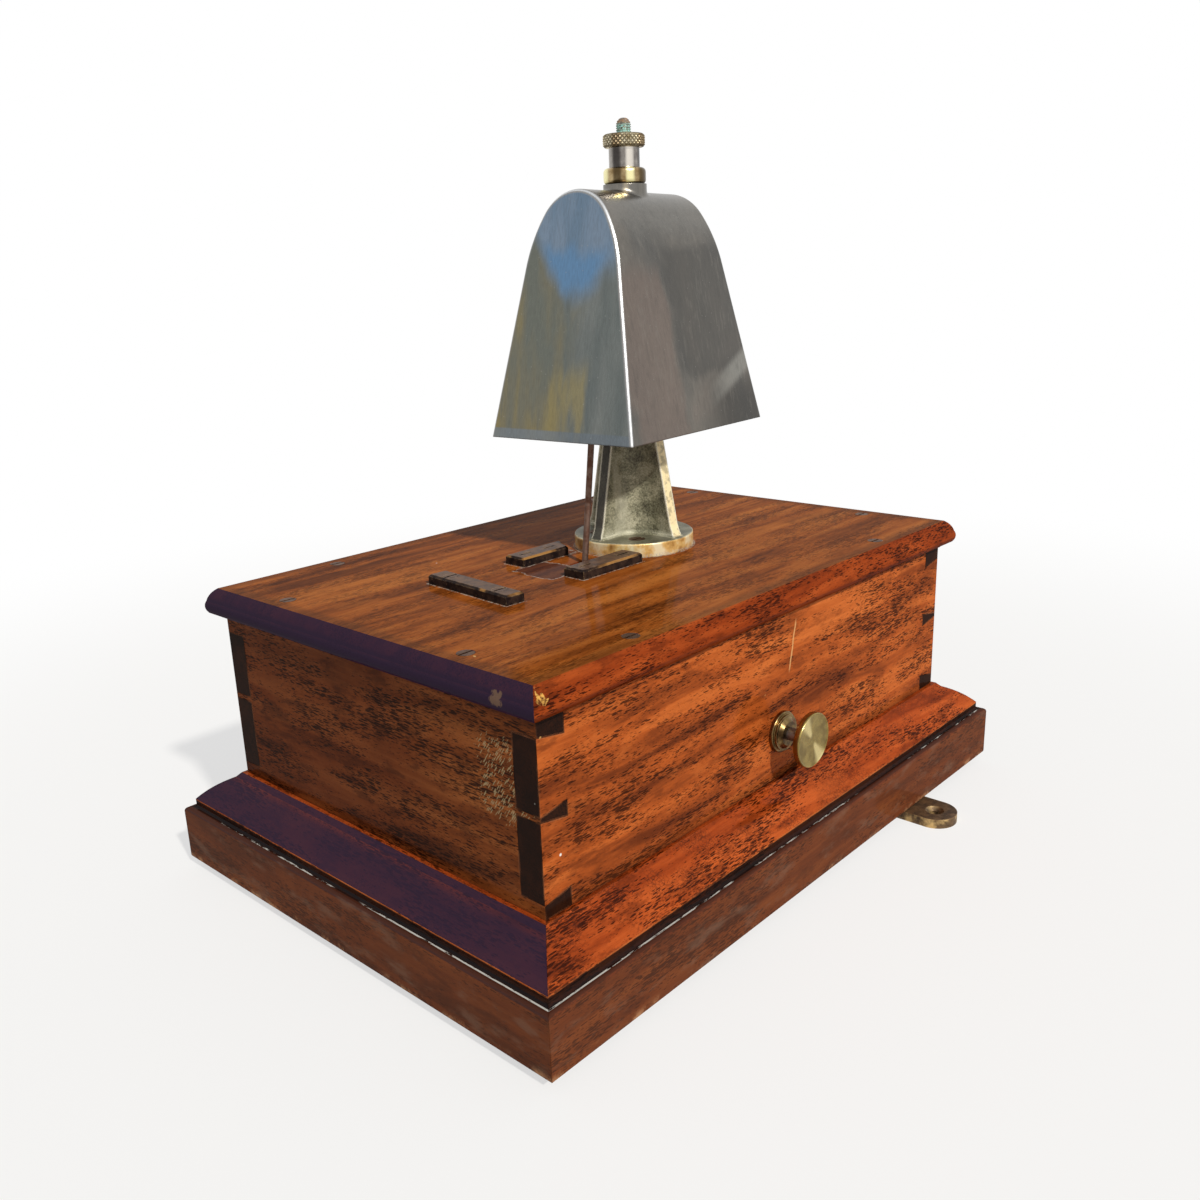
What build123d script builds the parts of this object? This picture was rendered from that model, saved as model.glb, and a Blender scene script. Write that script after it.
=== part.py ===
from build123d import *
from math import cos, radians, sin, tan
import os

# Signal box block bell: a dovetailed mahogany case on a moulded plinth, with a cast bell
# on a ribbed pillar, a hammer worked by an electromagnet under the lid, and a push
# plunger on the front. Origin at the centre of the underside, +Z up, +X to the right
# along the long side, and the plunger facing -Y.

os.makedirs("parts", exist_ok=True)

# Case: tail boards in front and behind, pin boards at the ends
case_length = 304.8
case_width = 203.2
case_height = 78.0
end_board = 14.0
long_board = 12.5
top_half_pin = 6.4
bottom_half_pin = 5.9
middle_pin = 2.2
lower_tail = 33.2
dovetail_slope = 1 / 6

# Plinth: four mitred rails, moulded outside, open inside
plinth_height = 44.0
plinth_reach = 23.2
plinth_ledge = 4.2
plinth_inside = 20.0
bevel_foot = 18.8
bevel_drop = 12.8
bevel_crown = 0.9
quirk_depth = 2.7
quirk_step = 1.3
band_round = 2.2
foot_round = 1.4

# Bottom board and mounting lugs, flush underneath
lug_thickness = 4.8
lug_width = 22.0
lug_reach = 21.4
lug_tail = 26.0
lug_hole = 2.75
lug_sink = 4.6
lug_offset = 93.5
lug_screw_pitch = 12.0
lug_screw_inset = 6.5
lug_play = 0.3
board_inset = 12.0

# Lid
lid_thickness = 14.4
lid_arris = 1.7
lid_nose = 6.6
nose_top = 5.8
nose_foot = 11.6
nose_bow = 0.7
chin_back = 1.2
lid_cove = 0.8
lid_bow = 0.5
slot_length = 17.0
slot_width = 9.0

# Bell pillar and the post that carries the bell
pillar_x = 21.0
pillar_y = 1.0
flange_radius = 30.1
flange_height = 7.0
flange_round = 1.0
rib_thickness = 6.0
rib_reach_foot = 28.4
rib_reach_low = 26.2
rib_reach_top = 10.4
rib_flare_height = 6.0
rib_root = 2.4
rib_root_steps = 3
pocket_round_low = 14.0
pocket_round_top = 4.0
pillar_height = 92.0
boss_radius = 8.5
boss_height = 10.0
post_radius = 5.0
post_socket = 14.0
stud_radius = 3.5
stud_length = 29.0
pillar_screw_circle = 19.5
pillar_screw_turn = 45.0

# Bell: an arched cup with flat sloping ends
bell_turn = 5.0
bell_lift = 59.7
bell_rise = 109.4
bell_half_length = 57.2
bell_end_slope = 10.15
bell_side_slope = 10.7
bell_flank_radius = 64.8
bell_shoulder = 33.0
bell_crown_radius = 21.2
bell_wall = 3.0
bell_edge_round = 2.2
bell_neck_radius = 10.2
bell_neck_height = 3.1
bell_neck_round = 2.5
bell_boss_radius = 11.0
bell_boss_drop = 6.0
washer_thickness = 1.6
washer_radius = 10.0

# Fittings above the bell
collar_radius = 9.9
collar_height = 7.2
collar_round = 1.9
sleeve_radius = 7.15
sleeve_height = 8.9
sleeve_round = 0.2
nut_radius = 9.9
nut_height = 5.8
nut_round = 1.5

# Three bars let down on the lid, which the brackets below hang from
bar_thickness = 4.4
bar_edge = 0.9
slot_bar_left = -45.8
front_bar_length = 41.0
back_bar_length = 38.0
back_bar_pitch = 16.0
front_bar_flange_gap = 0.6
back_bar_flange_gap = 8.0
slot_bar_width = 12.4
front_bar_centre = -20.0
back_bar_centre = 19.0
side_bar_x = -88.2
side_bar_length = 55.5
side_bar_width = 10.0
side_bar_turn = -3.9
side_bar_pitch = 35.0
bar_screw_inset = 7.5

# Hammer, hung on a pin under the lid
hammer_x = -23.5
hammer_y = -6.0
hammer_lean = 7.5
strike_angle = 4.0
pivot_drop = 45.0
pin_radius = 2.0
hub_width = 12.0
hub_length = 18.0
hub_height = 14.0
rod_radius = 1.5
rod_length = 128.0
rod_socket = 3.5
head_radius = 6.0
head_tail = 5.0
head_dome = 14.0
strike_gap = 0.15

# Armature and magnet
armature_thickness = 4.0
armature_width = 46.0
armature_rise = 6.0
armature_drop = 42.0
small_head = 2.2
small_shank = 1.2
small_grip = 3.0
air_gap = 0.5
core_radius = 4.5
core_pitch = 32.0
core_length = 54.0
core_drop = 28.0
pole_stand = 4.0
bobbin_cheek = 2.0
bobbin_tube = 1.0
winding_radius = 12.0
cheek_radius = 13.0
yoke_thickness = 6.0
yoke_height = 18.0
yoke_margin = 10.0
yoke_screw_reach = 4.0
bracket_plate = 4.0
magnet_foot = 48.0

# Hammer bracket, back stop and its spring
pivot_plate = 3.0
pivot_cheek = 3.0
pivot_cheek_width = 14.0
pivot_plate_length = 33.0
pin_ends = 1.5
slot_clearance = 1.0
stop_plate = 3.0
stop_width = 24.0
stop_leg_x = -62.0
stop_screw_radius = 2.0
stop_screw_rise = 7.0
stop_screw_tail = 8.0
stop_screw_head = 3.5
stop_head_height = 3.0
stop_foot_margin = 1.0
stop_nut_height = 3.0
stop_nut_across = 8.0
stop_gap = 0.3
spring_radius = 3.0
spring_wire = 0.8
spring_rise = 18.0

# Push plunger on the front, and the contact that it works
plunger_x = 1.0
plunger_height = 22.5
knob_radius = 12.75
knob_stand = 17.5
knob_rim = 3.2
knob_neck_radius = 4.4
knob_edge = 0.64
rose_radius = 9.7
rose_rim = 2.0
rose_step_radius = 8.4
rose_step = 3.2
rose_cone_radius = 7.4
rose_boss_radius = 5.6
rose_stand = 4.8
rose_edge = 0.7
rose_tail_radius = 5.5
rose_tail_out = 6.0
rose_nut_across = 16.0
rose_nut_height = 4.0
stem_radius = 3.0
stem_in_knob = 5.0
plunger_travel = 5.0
stop_collar_radius = 5.8
stop_collar_height = 3.0
plunger_spring_length = 18.0
plunger_spring_radius = 5.2
plunger_spring_wire = 0.9
frame_thickness = 2.5
frame_width = 40.0
frame_height = 14.0
frame_foot = 12.0
stem_nose = 3.0
contact_arm_length = 30.0
contact_arm_width = 8.0
contact_arm_thickness = 1.2
contact_arm_tip = 5.0
contact_pin_radius = 1.2
contact_eye_radius = 2.4
contact_block_width = 26.0
contact_block_depth = 14.0
contact_block_below = 6.0
contact_block_margin = 2.0
contact_flange = 4.0
contact_flange_reach = 10.0
contact_slot_above = 5.0
fixed_contact_width = 10.0
fixed_contact_thickness = 1.5
fixed_contact_below = 2.0
fixed_screw_drop = 9.0
contact_stud_radius = 2.5
arm_gap = 0.3
arm_spring_width = 1.4
arm_spring_wire = 0.5

# Terminal block on the floor of the case
terminal_count = 4
terminal_pitch = 18.0
terminal_block_width = 22.0
terminal_block_height = 16.0
terminal_block_margin = 10.0
terminal_y = 40.0
terminal_stud_radius = 2.5
terminal_stud_height = 16.0
terminal_nut_radius = 5.5
terminal_nut_height = 6.0
terminal_nut_lift = 5.0

# Screws: head radius, shank radius and length of each kind
wood_head = 3.6
wood_shank = 1.8
wood_length = 34.0
case_screw_length = 62.0
floor_screw_length = 14.0
fitting_screw_length = 10.0
bar_head = 3.6
bar_shank = 2.0
pillar_head = 4.2
pillar_shank = 2.4
driver_slot = 1.0
driver_depth = 1.1
lid_screw_x = 94.0
lid_screw_y = 59.0
case_screw_x = 70.0
case_screw_y = 45.0
floor_screw_x = 120.0
floor_screw_y = 70.0
floor_screw_inset = 9.0

# Clearances
hole_play = 0.1
running_play = 0.05
seat_play = 0.1
slide_play = 0.3
tip_round = 0.8

# Levels and faces that several pieces share
case_floor = lug_thickness + plinth_height
lid_under = case_floor + case_height
lid_top = lid_under + lid_thickness
half_length = case_length / 2
half_width = case_width / 2
front_inside = -half_width + long_board
pivot_z = lid_top - pivot_drop
pivot_x = hammer_x - pivot_drop * tan(radians(hammer_lean))
bell_mouth = lid_top + bell_lift
bell_top = bell_mouth + bell_rise
neck_top = bell_top + bell_neck_height
boss_seat = bell_top - bell_wall - bell_boss_drop
post_top = boss_seat - washer_thickness
pillar_top = lid_top + pillar_height
collar_top = neck_top + collar_height
sleeve_top = collar_top + sleeve_height
nut_top = sleeve_top + nut_height
plunger_z = case_floor + plunger_height
fitting_bore = stud_radius + hole_play

# Places along the plunger, from the knob inwards
knob_face = -half_width - knob_stand
knob_back = knob_face + knob_rim
knob_hub = -half_width - rose_stand - plunger_travel - slide_play
rose_end = front_inside + rose_tail_out
collar_start = rose_end + seat_play
collar_end = collar_start + stop_collar_height
web_y = collar_end + plunger_spring_length
stem_end = web_y + frame_thickness + stem_nose
arm_y = stem_end + arm_gap + contact_arm_thickness / 2
arm_pivot_z = plunger_z + contact_arm_length
block_front = arm_y - contact_eye_radius - contact_block_margin
block_middle = block_front + contact_block_depth / 2
block_low = arm_pivot_z - contact_block_below
fixed_y = block_front + contact_block_depth

right_angle = 90
full_turn = 360


def countersunk_screw(head, shank, length):
    """A slotted countersunk screw, its head flush at the origin and its shank down -Z."""
    cone = head - shank
    with BuildPart() as screw:
        with BuildSketch(Plane.XZ):
            with BuildLine():
                Polyline(
                    (0, 0),
                    (head, 0),
                    (shank, -cone),
                    (shank, -length + shank),
                    (0, -length),
                    close=True,
                )
            make_face()
        revolve(axis=Axis.Z)
        with Locations((0, 0, -driver_depth / 2)):
            Box(2 * head, driver_slot, driver_depth, mode=Mode.SUBTRACT)
    return screw.part


def screw_hole(head, shank, depth):
    """Cuts the sunk hole of a screw, with play all round, at the current locations."""
    CounterSinkHole(shank + hole_play, head + hole_play, depth, right_angle)


def side_frames(turn):
    """The floor plane and the section plane of the case side that faces -Y before the turn."""
    floor = Plane.XY.rotated((0, 0, turn))
    section = Plane(origin=(0, 0, 0), x_dir=floor.y_dir, z_dir=floor.x_dir)
    return floor, section


def plinth_rail(length, width, turn):
    """One plinth rail under a case side of this length, mitred at both ends."""
    floor, section = side_frames(turn)
    out = -width / 2
    reach = length / 2 + plinth_reach
    inner = length / 2 - plinth_inside
    foot = case_floor - bevel_drop
    band = foot - quirk_depth - quirk_step
    with BuildPart() as rail:
        with BuildSketch(section):
            with BuildLine():
                ledge = (out - plinth_ledge, case_floor - band_round)
                arris = (out - bevel_foot, foot)
                middle = (
                    (ledge[0] + arris[0]) / 2 - bevel_crown / 2,
                    (ledge[1] + arris[1]) / 2 + bevel_crown,
                )
                Polyline(
                    (out + plinth_inside, lug_thickness),
                    (out + plinth_inside, case_floor),
                    (out - plinth_ledge + band_round, case_floor),
                    ledge,
                )
                ThreePointArc(ledge, middle, arris)
                Line(arris, (arris[0], foot - quirk_depth))
                quirk = (arris[0] - quirk_step, band)
                TangentArc((arris[0], foot - quirk_depth), quirk, tangent=(0, -1))
                shoulder = (out - plinth_reach + band_round, band)
                Line(quirk, shoulder)
                RadiusArc(shoulder, (out - plinth_reach, band - band_round), -band_round)
                Line(
                    (out - plinth_reach, band - band_round),
                    (out - plinth_reach, lug_thickness + foot_round),
                )
                RadiusArc(
                    (out - plinth_reach, lug_thickness + foot_round),
                    (out - plinth_reach + foot_round, lug_thickness),
                    -foot_round,
                )
                Line(
                    (out - plinth_reach + foot_round, lug_thickness),
                    (out + plinth_inside, lug_thickness),
                )
            make_face()
        extrude(amount=reach, both=True)
        with BuildSketch(floor):
            Polygon(
                (-reach, out - plinth_reach),
                (reach, out - plinth_reach),
                (inner, out + plinth_inside),
                (-inner, out + plinth_inside),
                align=None,
            )
        extrude(amount=lid_top, mode=Mode.INTERSECT)
    return rail.part


def pin_outlines():
    """Each dovetail pin: its lower and upper edge at the corner, then inside."""
    flare = end_board * dovetail_slope
    top = case_height - top_half_pin
    middle_low = bottom_half_pin + lower_tail
    middle_high = middle_low + middle_pin
    return [
        (0, bottom_half_pin, 0, bottom_half_pin + flare),
        (middle_low, middle_high, middle_low - flare, middle_high + flare),
        (top, case_height, top - flare, case_height),
    ]


def dovetail_pins(face, end):
    """The three pins that show on this face at one end: end is -1 or 1 along its x."""
    outer = end * half_length
    inner = end * (half_length - end_board)
    with BuildPart() as pins:
        with BuildSketch(face):
            for low, high, low_in, high_in in pin_outlines():
                Polygon(
                    (outer, low),
                    (outer, high),
                    (inner, high_in),
                    (inner, low_in),
                    align=None,
                )
        extrude(amount=-long_board)
    return pins.part


front_face = Plane(origin=(0, -half_width, case_floor), x_dir=(1, 0, 0), z_dir=(0, -1, 0))
back_face = Plane(origin=(0, half_width, case_floor), x_dir=(-1, 0, 0), z_dir=(0, 1, 0))


def tail_board(face):
    """The front or back board, with sockets for the pins at both ends."""
    pins = [dovetail_pins(face, end) for end in (-1, 1)]
    with BuildPart() as board:
        with BuildSketch(face):
            with Locations((0, case_height / 2)):
                Rectangle(case_length, case_height)
        extrude(amount=-long_board)
        for pin in pins:
            add(pin, mode=Mode.SUBTRACT)
    return board.part


def pin_board(end):
    """The left (-1) or right (1) board, with its pins front and back."""
    pins = [dovetail_pins(front_face, end), dovetail_pins(back_face, -end)]
    centre = end * (half_length - end_board / 2)
    with BuildPart() as board:
        with BuildSketch(Plane.XY.offset(case_floor)):
            with Locations((centre, 0)):
                Rectangle(end_board, case_width - 2 * long_board)
        extrude(amount=case_height)
        for pin in pins:
            add(pin)
    return board.part


def lid_section(half):
    """The moulded outline of the lid across a case of this half width, in height from 0."""
    arris = (half + lid_arris, lid_thickness)
    nose = (half + lid_nose - nose_bow, lid_thickness - nose_top)
    tip = (half + lid_nose, lid_thickness - (nose_top + nose_foot) / 2)
    chin = (half + lid_nose - chin_back, lid_thickness - nose_foot)
    root = (half + lid_cove, 0)
    bevel = ((arris[0] + nose[0]) / 2 + lid_bow, (arris[1] + nose[1]) / 2 + lid_bow)
    hollow = ((chin[0] + root[0]) / 2 - lid_bow, (chin[1] + root[1]) / 2 + lid_bow)
    with BuildSketch() as section:
        with BuildLine():
            right = [
                ThreePointArc(arris, bevel, nose),
                ThreePointArc(nose, tip, chin),
                ThreePointArc(chin, hollow, root),
            ]
            for edge in right:
                mirror(edge, about=Plane.YZ)
            Line(root, (-root[0], 0))
            Line(arris, (-arris[0], arris[1]))
        make_face()
    return section.sketch


def screws_at(kind, planes):
    """Copies of one screw as separate solids, each with its head in one of the planes."""
    with BuildPart() as group:
        with Locations(*planes):
            add(kind)
    return group.part


def down(points, height):
    """Planes at this height for screws driven downwards."""
    return [Plane(origin=(x, y, height)) for x, y in points]


def up(points, height):
    """Planes at this height for screws driven upwards."""
    return [Plane(origin=(x, y, height), z_dir=(0, 0, -1)) for x, y in points]


def rows(half_x, half_y):
    """The four corners of a rectangle about the origin."""
    return [(x, y) for x in (-half_x, half_x) for y in (-half_y, half_y)]


# Where the screws go
long_line = half_width - long_board / 2
end_line = half_length - end_board / 2
lid_screw_points = rows(lid_screw_x, long_line) + rows(end_line, lid_screw_y)
case_screw_points = rows(case_screw_x, long_line) + rows(end_line, case_screw_y)
floor_line_x = half_length + plinth_reach - board_inset
floor_line_y = half_width + plinth_reach - board_inset
floor_screw_points = rows(floor_screw_x, floor_line_y - floor_screw_inset)
floor_screw_points += rows(floor_line_x - floor_screw_inset, floor_screw_y)

pillar_screw_points = [
    (
        pillar_x + pillar_screw_circle * cos(radians(pillar_screw_turn + quarter)),
        pillar_y + pillar_screw_circle * sin(radians(pillar_screw_turn + quarter)),
    )
    for quarter in range(0, full_turn, right_angle)
]

front_bar_x = slot_bar_left + front_bar_length / 2
back_bar_x = slot_bar_left + back_bar_length / 2
bar_first_x = slot_bar_left + bar_screw_inset
front_bar_points = [
    (bar_first_x, front_bar_centre),
    (slot_bar_left + front_bar_length - bar_screw_inset, front_bar_centre),
]
back_bar_points = [
    (bar_first_x, back_bar_centre),
    (bar_first_x + back_bar_pitch, back_bar_centre),
]
side_bar_plane = Plane.XY.rotated((0, 0, side_bar_turn))
side_bar_points = [
    (
        side_bar_x - s * side_bar_pitch / 2 * sin(radians(side_bar_turn)),
        s * side_bar_pitch / 2 * cos(radians(side_bar_turn)),
    )
    for s in (-1, 1)
]
bar_screw_points = front_bar_points + back_bar_points + side_bar_points

block_screw_points = [
    (plunger_x + s * (contact_block_width + contact_flange_reach) / 2, block_middle)
    for s in (-1, 1)
]
terminal_points = [
    ((i - (terminal_count - 1) / 2) * terminal_pitch, terminal_y)
    for i in range(terminal_count)
]
terminal_screw_points = [
    (s * (terminal_count - 2) / 2 * terminal_pitch, terminal_y) for s in (-1, 1)
]

lug_line = half_width + plinth_reach
lug_end = lug_width / 2


def lug_screws_of(side):
    """Where the two screws of a lug go: side is -1 in front and 1 behind."""
    y = side * (lug_line - lug_tail + lug_screw_inset)
    return [(-side * lug_offset + s * lug_screw_pitch / 2, y) for s in (-1, 1)]


def lug(side):
    """A mounting lug let in under the plinth: side is -1 in front and 1 behind."""
    x = -side * lug_offset
    hole_y = side * (lug_line + lug_reach - lug_end)
    tail_y = side * (lug_line - lug_tail)
    with BuildPart() as piece:
        with BuildSketch():
            with Locations((x, (hole_y + tail_y) / 2)):
                Rectangle(lug_width, abs(hole_y - tail_y))
            with Locations((x, hole_y)):
                Circle(lug_end)
        extrude(amount=lug_thickness)
        with Locations((x, hole_y, lug_thickness)):
            CounterSinkHole(lug_hole, lug_sink, lug_thickness, right_angle)
        with Locations(*up(lug_screws_of(side), 0)):
            screw_hole(wood_head, wood_shank, lug_thickness)
    return piece.part


underside_points = floor_screw_points + lug_screws_of(-1) + lug_screws_of(1)

# Plinth rails
case_screw_kind = countersunk_screw(wood_head, wood_shank, case_screw_length)
rail_sizes = {
    "plinth_front": (case_length, case_width, 0),
    "plinth_right": (case_width, case_length, right_angle),
    "plinth_back": (case_length, case_width, 2 * right_angle),
    "plinth_left": (case_width, case_length, 3 * right_angle),
}
for rail_name, (rail_length, rail_width, rail_turn) in rail_sizes.items():
    blank = plinth_rail(rail_length, rail_width, rail_turn)
    with BuildPart() as plinth:
        add(blank)
        with Locations(*up(case_screw_points, lug_thickness)):
            screw_hole(wood_head, wood_shank, plinth_height)
        with Locations(*up(underside_points, lug_thickness)):
            Hole(wood_shank + hole_play, floor_screw_length)
    plinth.part.label = rail_name
    export_step(plinth.part, f"parts/{rail_name}.step")

plinth_screws = screws_at(case_screw_kind, up(case_screw_points, lug_thickness))
plinth_screws.label = "plinth_screws"
export_step(plinth_screws, "parts/plinth_screws.step")

# Bottom board, cut round the tails of the two lugs
with BuildPart() as bottom_board:
    with BuildSketch():
        Rectangle(2 * floor_line_x, 2 * floor_line_y)
        for side in (-1, 1):
            with Locations((-side * lug_offset, side * (lug_line - lug_tail / 2))):
                Rectangle(
                    lug_width + 2 * lug_play,
                    lug_tail + 2 * lug_play,
                    mode=Mode.SUBTRACT,
                )
    extrude(amount=lug_thickness)
    with Locations(*up(floor_screw_points + terminal_screw_points, 0)):
        screw_hole(wood_head, wood_shank, lug_thickness)
bottom_board.part.label = "bottom_board"
export_step(bottom_board.part, "parts/bottom_board.step")

# Mounting lugs
for side, lug_name in ((-1, "lug_front"), (1, "lug_back")):
    lug_part = lug(side)
    lug_part.label = lug_name
    export_step(lug_part, f"parts/{lug_name}.step")

# The same screws hold the bottom board, the lugs and the terminal block
floor_screw_kind = countersunk_screw(wood_head, wood_shank, floor_screw_length)
underside_screws = screws_at(
    floor_screw_kind, up(underside_points + terminal_screw_points, 0)
)
underside_screws.label = "underside_screws"
export_step(underside_screws, "parts/underside_screws.step")

# Case boards, drilled for the screws of the lid above and of the plinth below
lid_screw_depth = wood_length - lid_thickness
case_screw_depth = case_screw_length - plinth_height
frame_screw_reach = frame_width / 2 + frame_foot / 2
frame_screw_planes = [
    Plane(
        origin=(plunger_x + s * frame_screw_reach, front_inside, plunger_z),
        z_dir=(0, 1, 0),
    )
    for s in (-1, 1)
]
board_blanks = {
    "case_front": tail_board(front_face),
    "case_back": tail_board(back_face),
    "case_left": pin_board(-1),
    "case_right": pin_board(1),
}
for board_name, blank in board_blanks.items():
    with BuildPart() as case_board:
        add(blank)
        with Locations(*down(lid_screw_points, lid_under)):
            Hole(wood_shank + hole_play, lid_screw_depth)
        with Locations(*up(case_screw_points, case_floor)):
            Hole(wood_shank + hole_play, case_screw_depth)
        if board_name == "case_front":
            with Locations(
                Plane(origin=(plunger_x, -half_width, plunger_z), z_dir=(0, -1, 0))
            ):
                Hole(rose_tail_radius + hole_play, long_board)
            with Locations(*frame_screw_planes):
                Hole(wood_shank + hole_play, fitting_screw_length - frame_thickness)
    case_board.part.label = board_name
    export_step(case_board.part, f"parts/{board_name}.step")

# Lid, moulded on all four edges: the two crossed sections meet in mitred corners
with BuildPart() as lid:
    with BuildSketch(Plane(origin=(0, 0, lid_under), x_dir=(1, 0, 0), z_dir=(0, -1, 0))):
        add(lid_section(half_length))
    extrude(amount=half_width + lid_nose, both=True)
    with BuildSketch(
        Plane(origin=(0, 0, lid_under), x_dir=(0, 1, 0), z_dir=(1, 0, 0))
    ):
        add(lid_section(half_width))
    extrude(amount=half_length + lid_nose, both=True, mode=Mode.INTERSECT)
    with BuildSketch(Plane.XY.offset(lid_under)):
        with Locations((hammer_x, hammer_y)):
            SlotOverall(slot_length, slot_width)
    extrude(amount=lid_thickness, mode=Mode.SUBTRACT)
    with Locations(*down(lid_screw_points, lid_top)):
        screw_hole(wood_head, wood_shank, lid_thickness)
    with Locations(*down(bar_screw_points, lid_top)):
        Hole(bar_shank + hole_play, lid_thickness)
    with Locations(*down(pillar_screw_points, lid_top)):
        Hole(pillar_shank + hole_play, lid_thickness)
    with Locations(*up(block_screw_points, lid_under)):
        Hole(wood_shank + hole_play, fitting_screw_length - contact_flange)
lid.part.label = "lid"
export_step(lid.part, "parts/lid.step")

lid_screw_kind = countersunk_screw(wood_head, wood_shank, wood_length)
lid_screws = screws_at(lid_screw_kind, down(lid_screw_points, lid_top))
lid_screws.label = "lid_screws"
export_step(lid_screws, "parts/lid_screws.step")


# Bell pillar: a round flange, four tapering ribs with scooped pockets, and a top boss
pillar_foot = Plane(origin=(pillar_x, pillar_y, lid_top))
rib_flare = (rib_reach_foot - rib_reach_low) / rib_flare_height
rib_stations = []
for step in range(rib_root_steps + 1):
    turn = radians(right_angle * step / rib_root_steps)
    rise = rib_root * (1 - cos(turn))
    swell = rib_root * (1 - sin(turn))
    rib_stations.append((rise, rib_reach_foot - rib_flare * rise, swell, pocket_round_low))
rib_stations += [
    (rib_flare_height, rib_reach_low, 0, pocket_round_low),
    (pillar_height - flange_height, rib_reach_top, 0, pocket_round_top),
]
with BuildPart() as bell_pillar:
    with BuildSketch(pillar_foot):
        Circle(flange_radius)
    extrude(amount=flange_height)
    fillet(bell_pillar.faces().sort_by(Axis.Z)[-1].edges(), flange_round)
    for rise, reach, swell, rounding in rib_stations:
        with BuildSketch(pillar_foot.offset(flange_height + rise)) as cross:
            Rectangle(2 * reach, rib_thickness + 2 * swell)
            Rectangle(rib_thickness + 2 * swell, 2 * reach)
            inner_corners = cross.vertices().sort_by_distance((0, 0))[:4]
            fillet(inner_corners, rounding - swell)
    loft(ruled=True)
    with BuildSketch(pillar_foot.offset(pillar_height - boss_height)):
        Circle(boss_radius)
    extrude(amount=boss_height)
    with Locations((pillar_x, pillar_y, pillar_top)):
        Hole(post_radius + running_play, post_socket)
    with Locations(*down(pillar_screw_points, lid_top + flange_height)):
        screw_hole(pillar_head, pillar_shank, flange_height)
bell_pillar.part.label = "bell_pillar"
export_step(bell_pillar.part, "parts/bell_pillar.step")

pillar_screw_length = flange_height + lid_thickness + bracket_plate
pillar_screw_kind = countersunk_screw(pillar_head, pillar_shank, pillar_screw_length)
pillar_screws = screws_at(
    pillar_screw_kind, down(pillar_screw_points, lid_top + flange_height)
)
pillar_screws.label = "pillar_screws"
export_step(pillar_screws, "parts/pillar_screws.step")

# Bell post: a steel rod socketed in the pillar, shouldered under the bell, threaded above
bell_axis = Plane(origin=(pillar_x, pillar_y, 0))
with BuildPart() as bell_post:
    with BuildSketch(bell_axis.offset(pillar_top - post_socket)):
        Circle(post_radius)
    extrude(amount=post_top - pillar_top + post_socket)
    with BuildSketch(bell_axis.offset(post_top)):
        Circle(stud_radius)
    extrude(amount=neck_top - post_top + stud_length)
    fillet(bell_post.faces().sort_by(Axis.Z)[-1].edges(), stud_radius * tip_round)
bell_post.part.label = "bell_post"
export_step(bell_post.part, "parts/bell_post.step")

# Washer between the shoulder and the bell
with BuildPart() as bell_washer:
    with BuildSketch(bell_axis.offset(post_top)):
        Circle(washer_radius)
        Circle(fitting_bore, mode=Mode.SUBTRACT)
    extrude(amount=washer_thickness)
bell_washer.part.label = "bell_washer"
export_step(bell_washer.part, "parts/bell_washer.step")


def bell_arch(inset):
    """The arched end outline: straight sides, flank arcs and a crown arc, inset by a wall."""
    crown = bell_crown_radius - inset
    flank = bell_flank_radius - inset
    side = radians(bell_side_slope)
    shoulder = radians(bell_shoulder)
    crown_z = bell_rise - bell_crown_radius
    flank_y = (bell_crown_radius - bell_flank_radius) * cos(shoulder)
    flank_z = crown_z + (bell_crown_radius - bell_flank_radius) * sin(shoulder)

    def on_flank(angle):
        return (flank_y + flank * cos(angle), flank_z + flank * sin(angle))

    spring = on_flank(side)
    haunch = on_flank((side + shoulder) / 2)
    knee = on_flank(shoulder)
    lip = (spring[0] + spring[1] * tan(side), 0)
    with BuildSketch() as arch:
        with BuildLine():
            half = [Line(lip, spring), ThreePointArc(spring, haunch, knee)]
            for edge in half:
                mirror(edge, about=Plane.YZ)
            ThreePointArc(knee, (0, crown_z + crown), (-knee[0], knee[1]))
            Line(lip, (-lip[0], 0))
        make_face()
    return arch.sketch


def bell_form(inset):
    """The bell as a solid, inset by a wall on its sides, ends and top."""
    slope = radians(bell_end_slope)
    foot = bell_half_length - inset / cos(slope)
    head = foot - bell_rise * tan(slope)
    frame = Plane(origin=(pillar_x, pillar_y, bell_mouth)).rotated((0, 0, bell_turn))
    across = Plane(origin=frame.origin, x_dir=frame.y_dir, z_dir=frame.x_dir)
    along = Plane(origin=frame.origin, x_dir=frame.x_dir, z_dir=-frame.y_dir)
    with BuildPart() as form:
        with BuildSketch(across):
            add(bell_arch(inset))
        extrude(amount=foot, both=True)
        with BuildSketch(along):
            Polygon(
                (-foot, 0),
                (foot, 0),
                (head, bell_rise),
                (-head, bell_rise),
                align=None,
            )
        extrude(amount=bell_half_length, both=True, mode=Mode.INTERSECT)
        if inset == 0:
            rim = form.faces().sort_by(Axis.Z)[0].edges()
            lengthwise = form.faces().sort_by(Axis(frame.origin, frame.x_dir))
            ends = lengthwise[0].edges() + lengthwise[-1].edges()
            arches = [edge for edge in ends if edge not in rim]
            fillet(arches, bell_edge_round)
    return form.part


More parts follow.
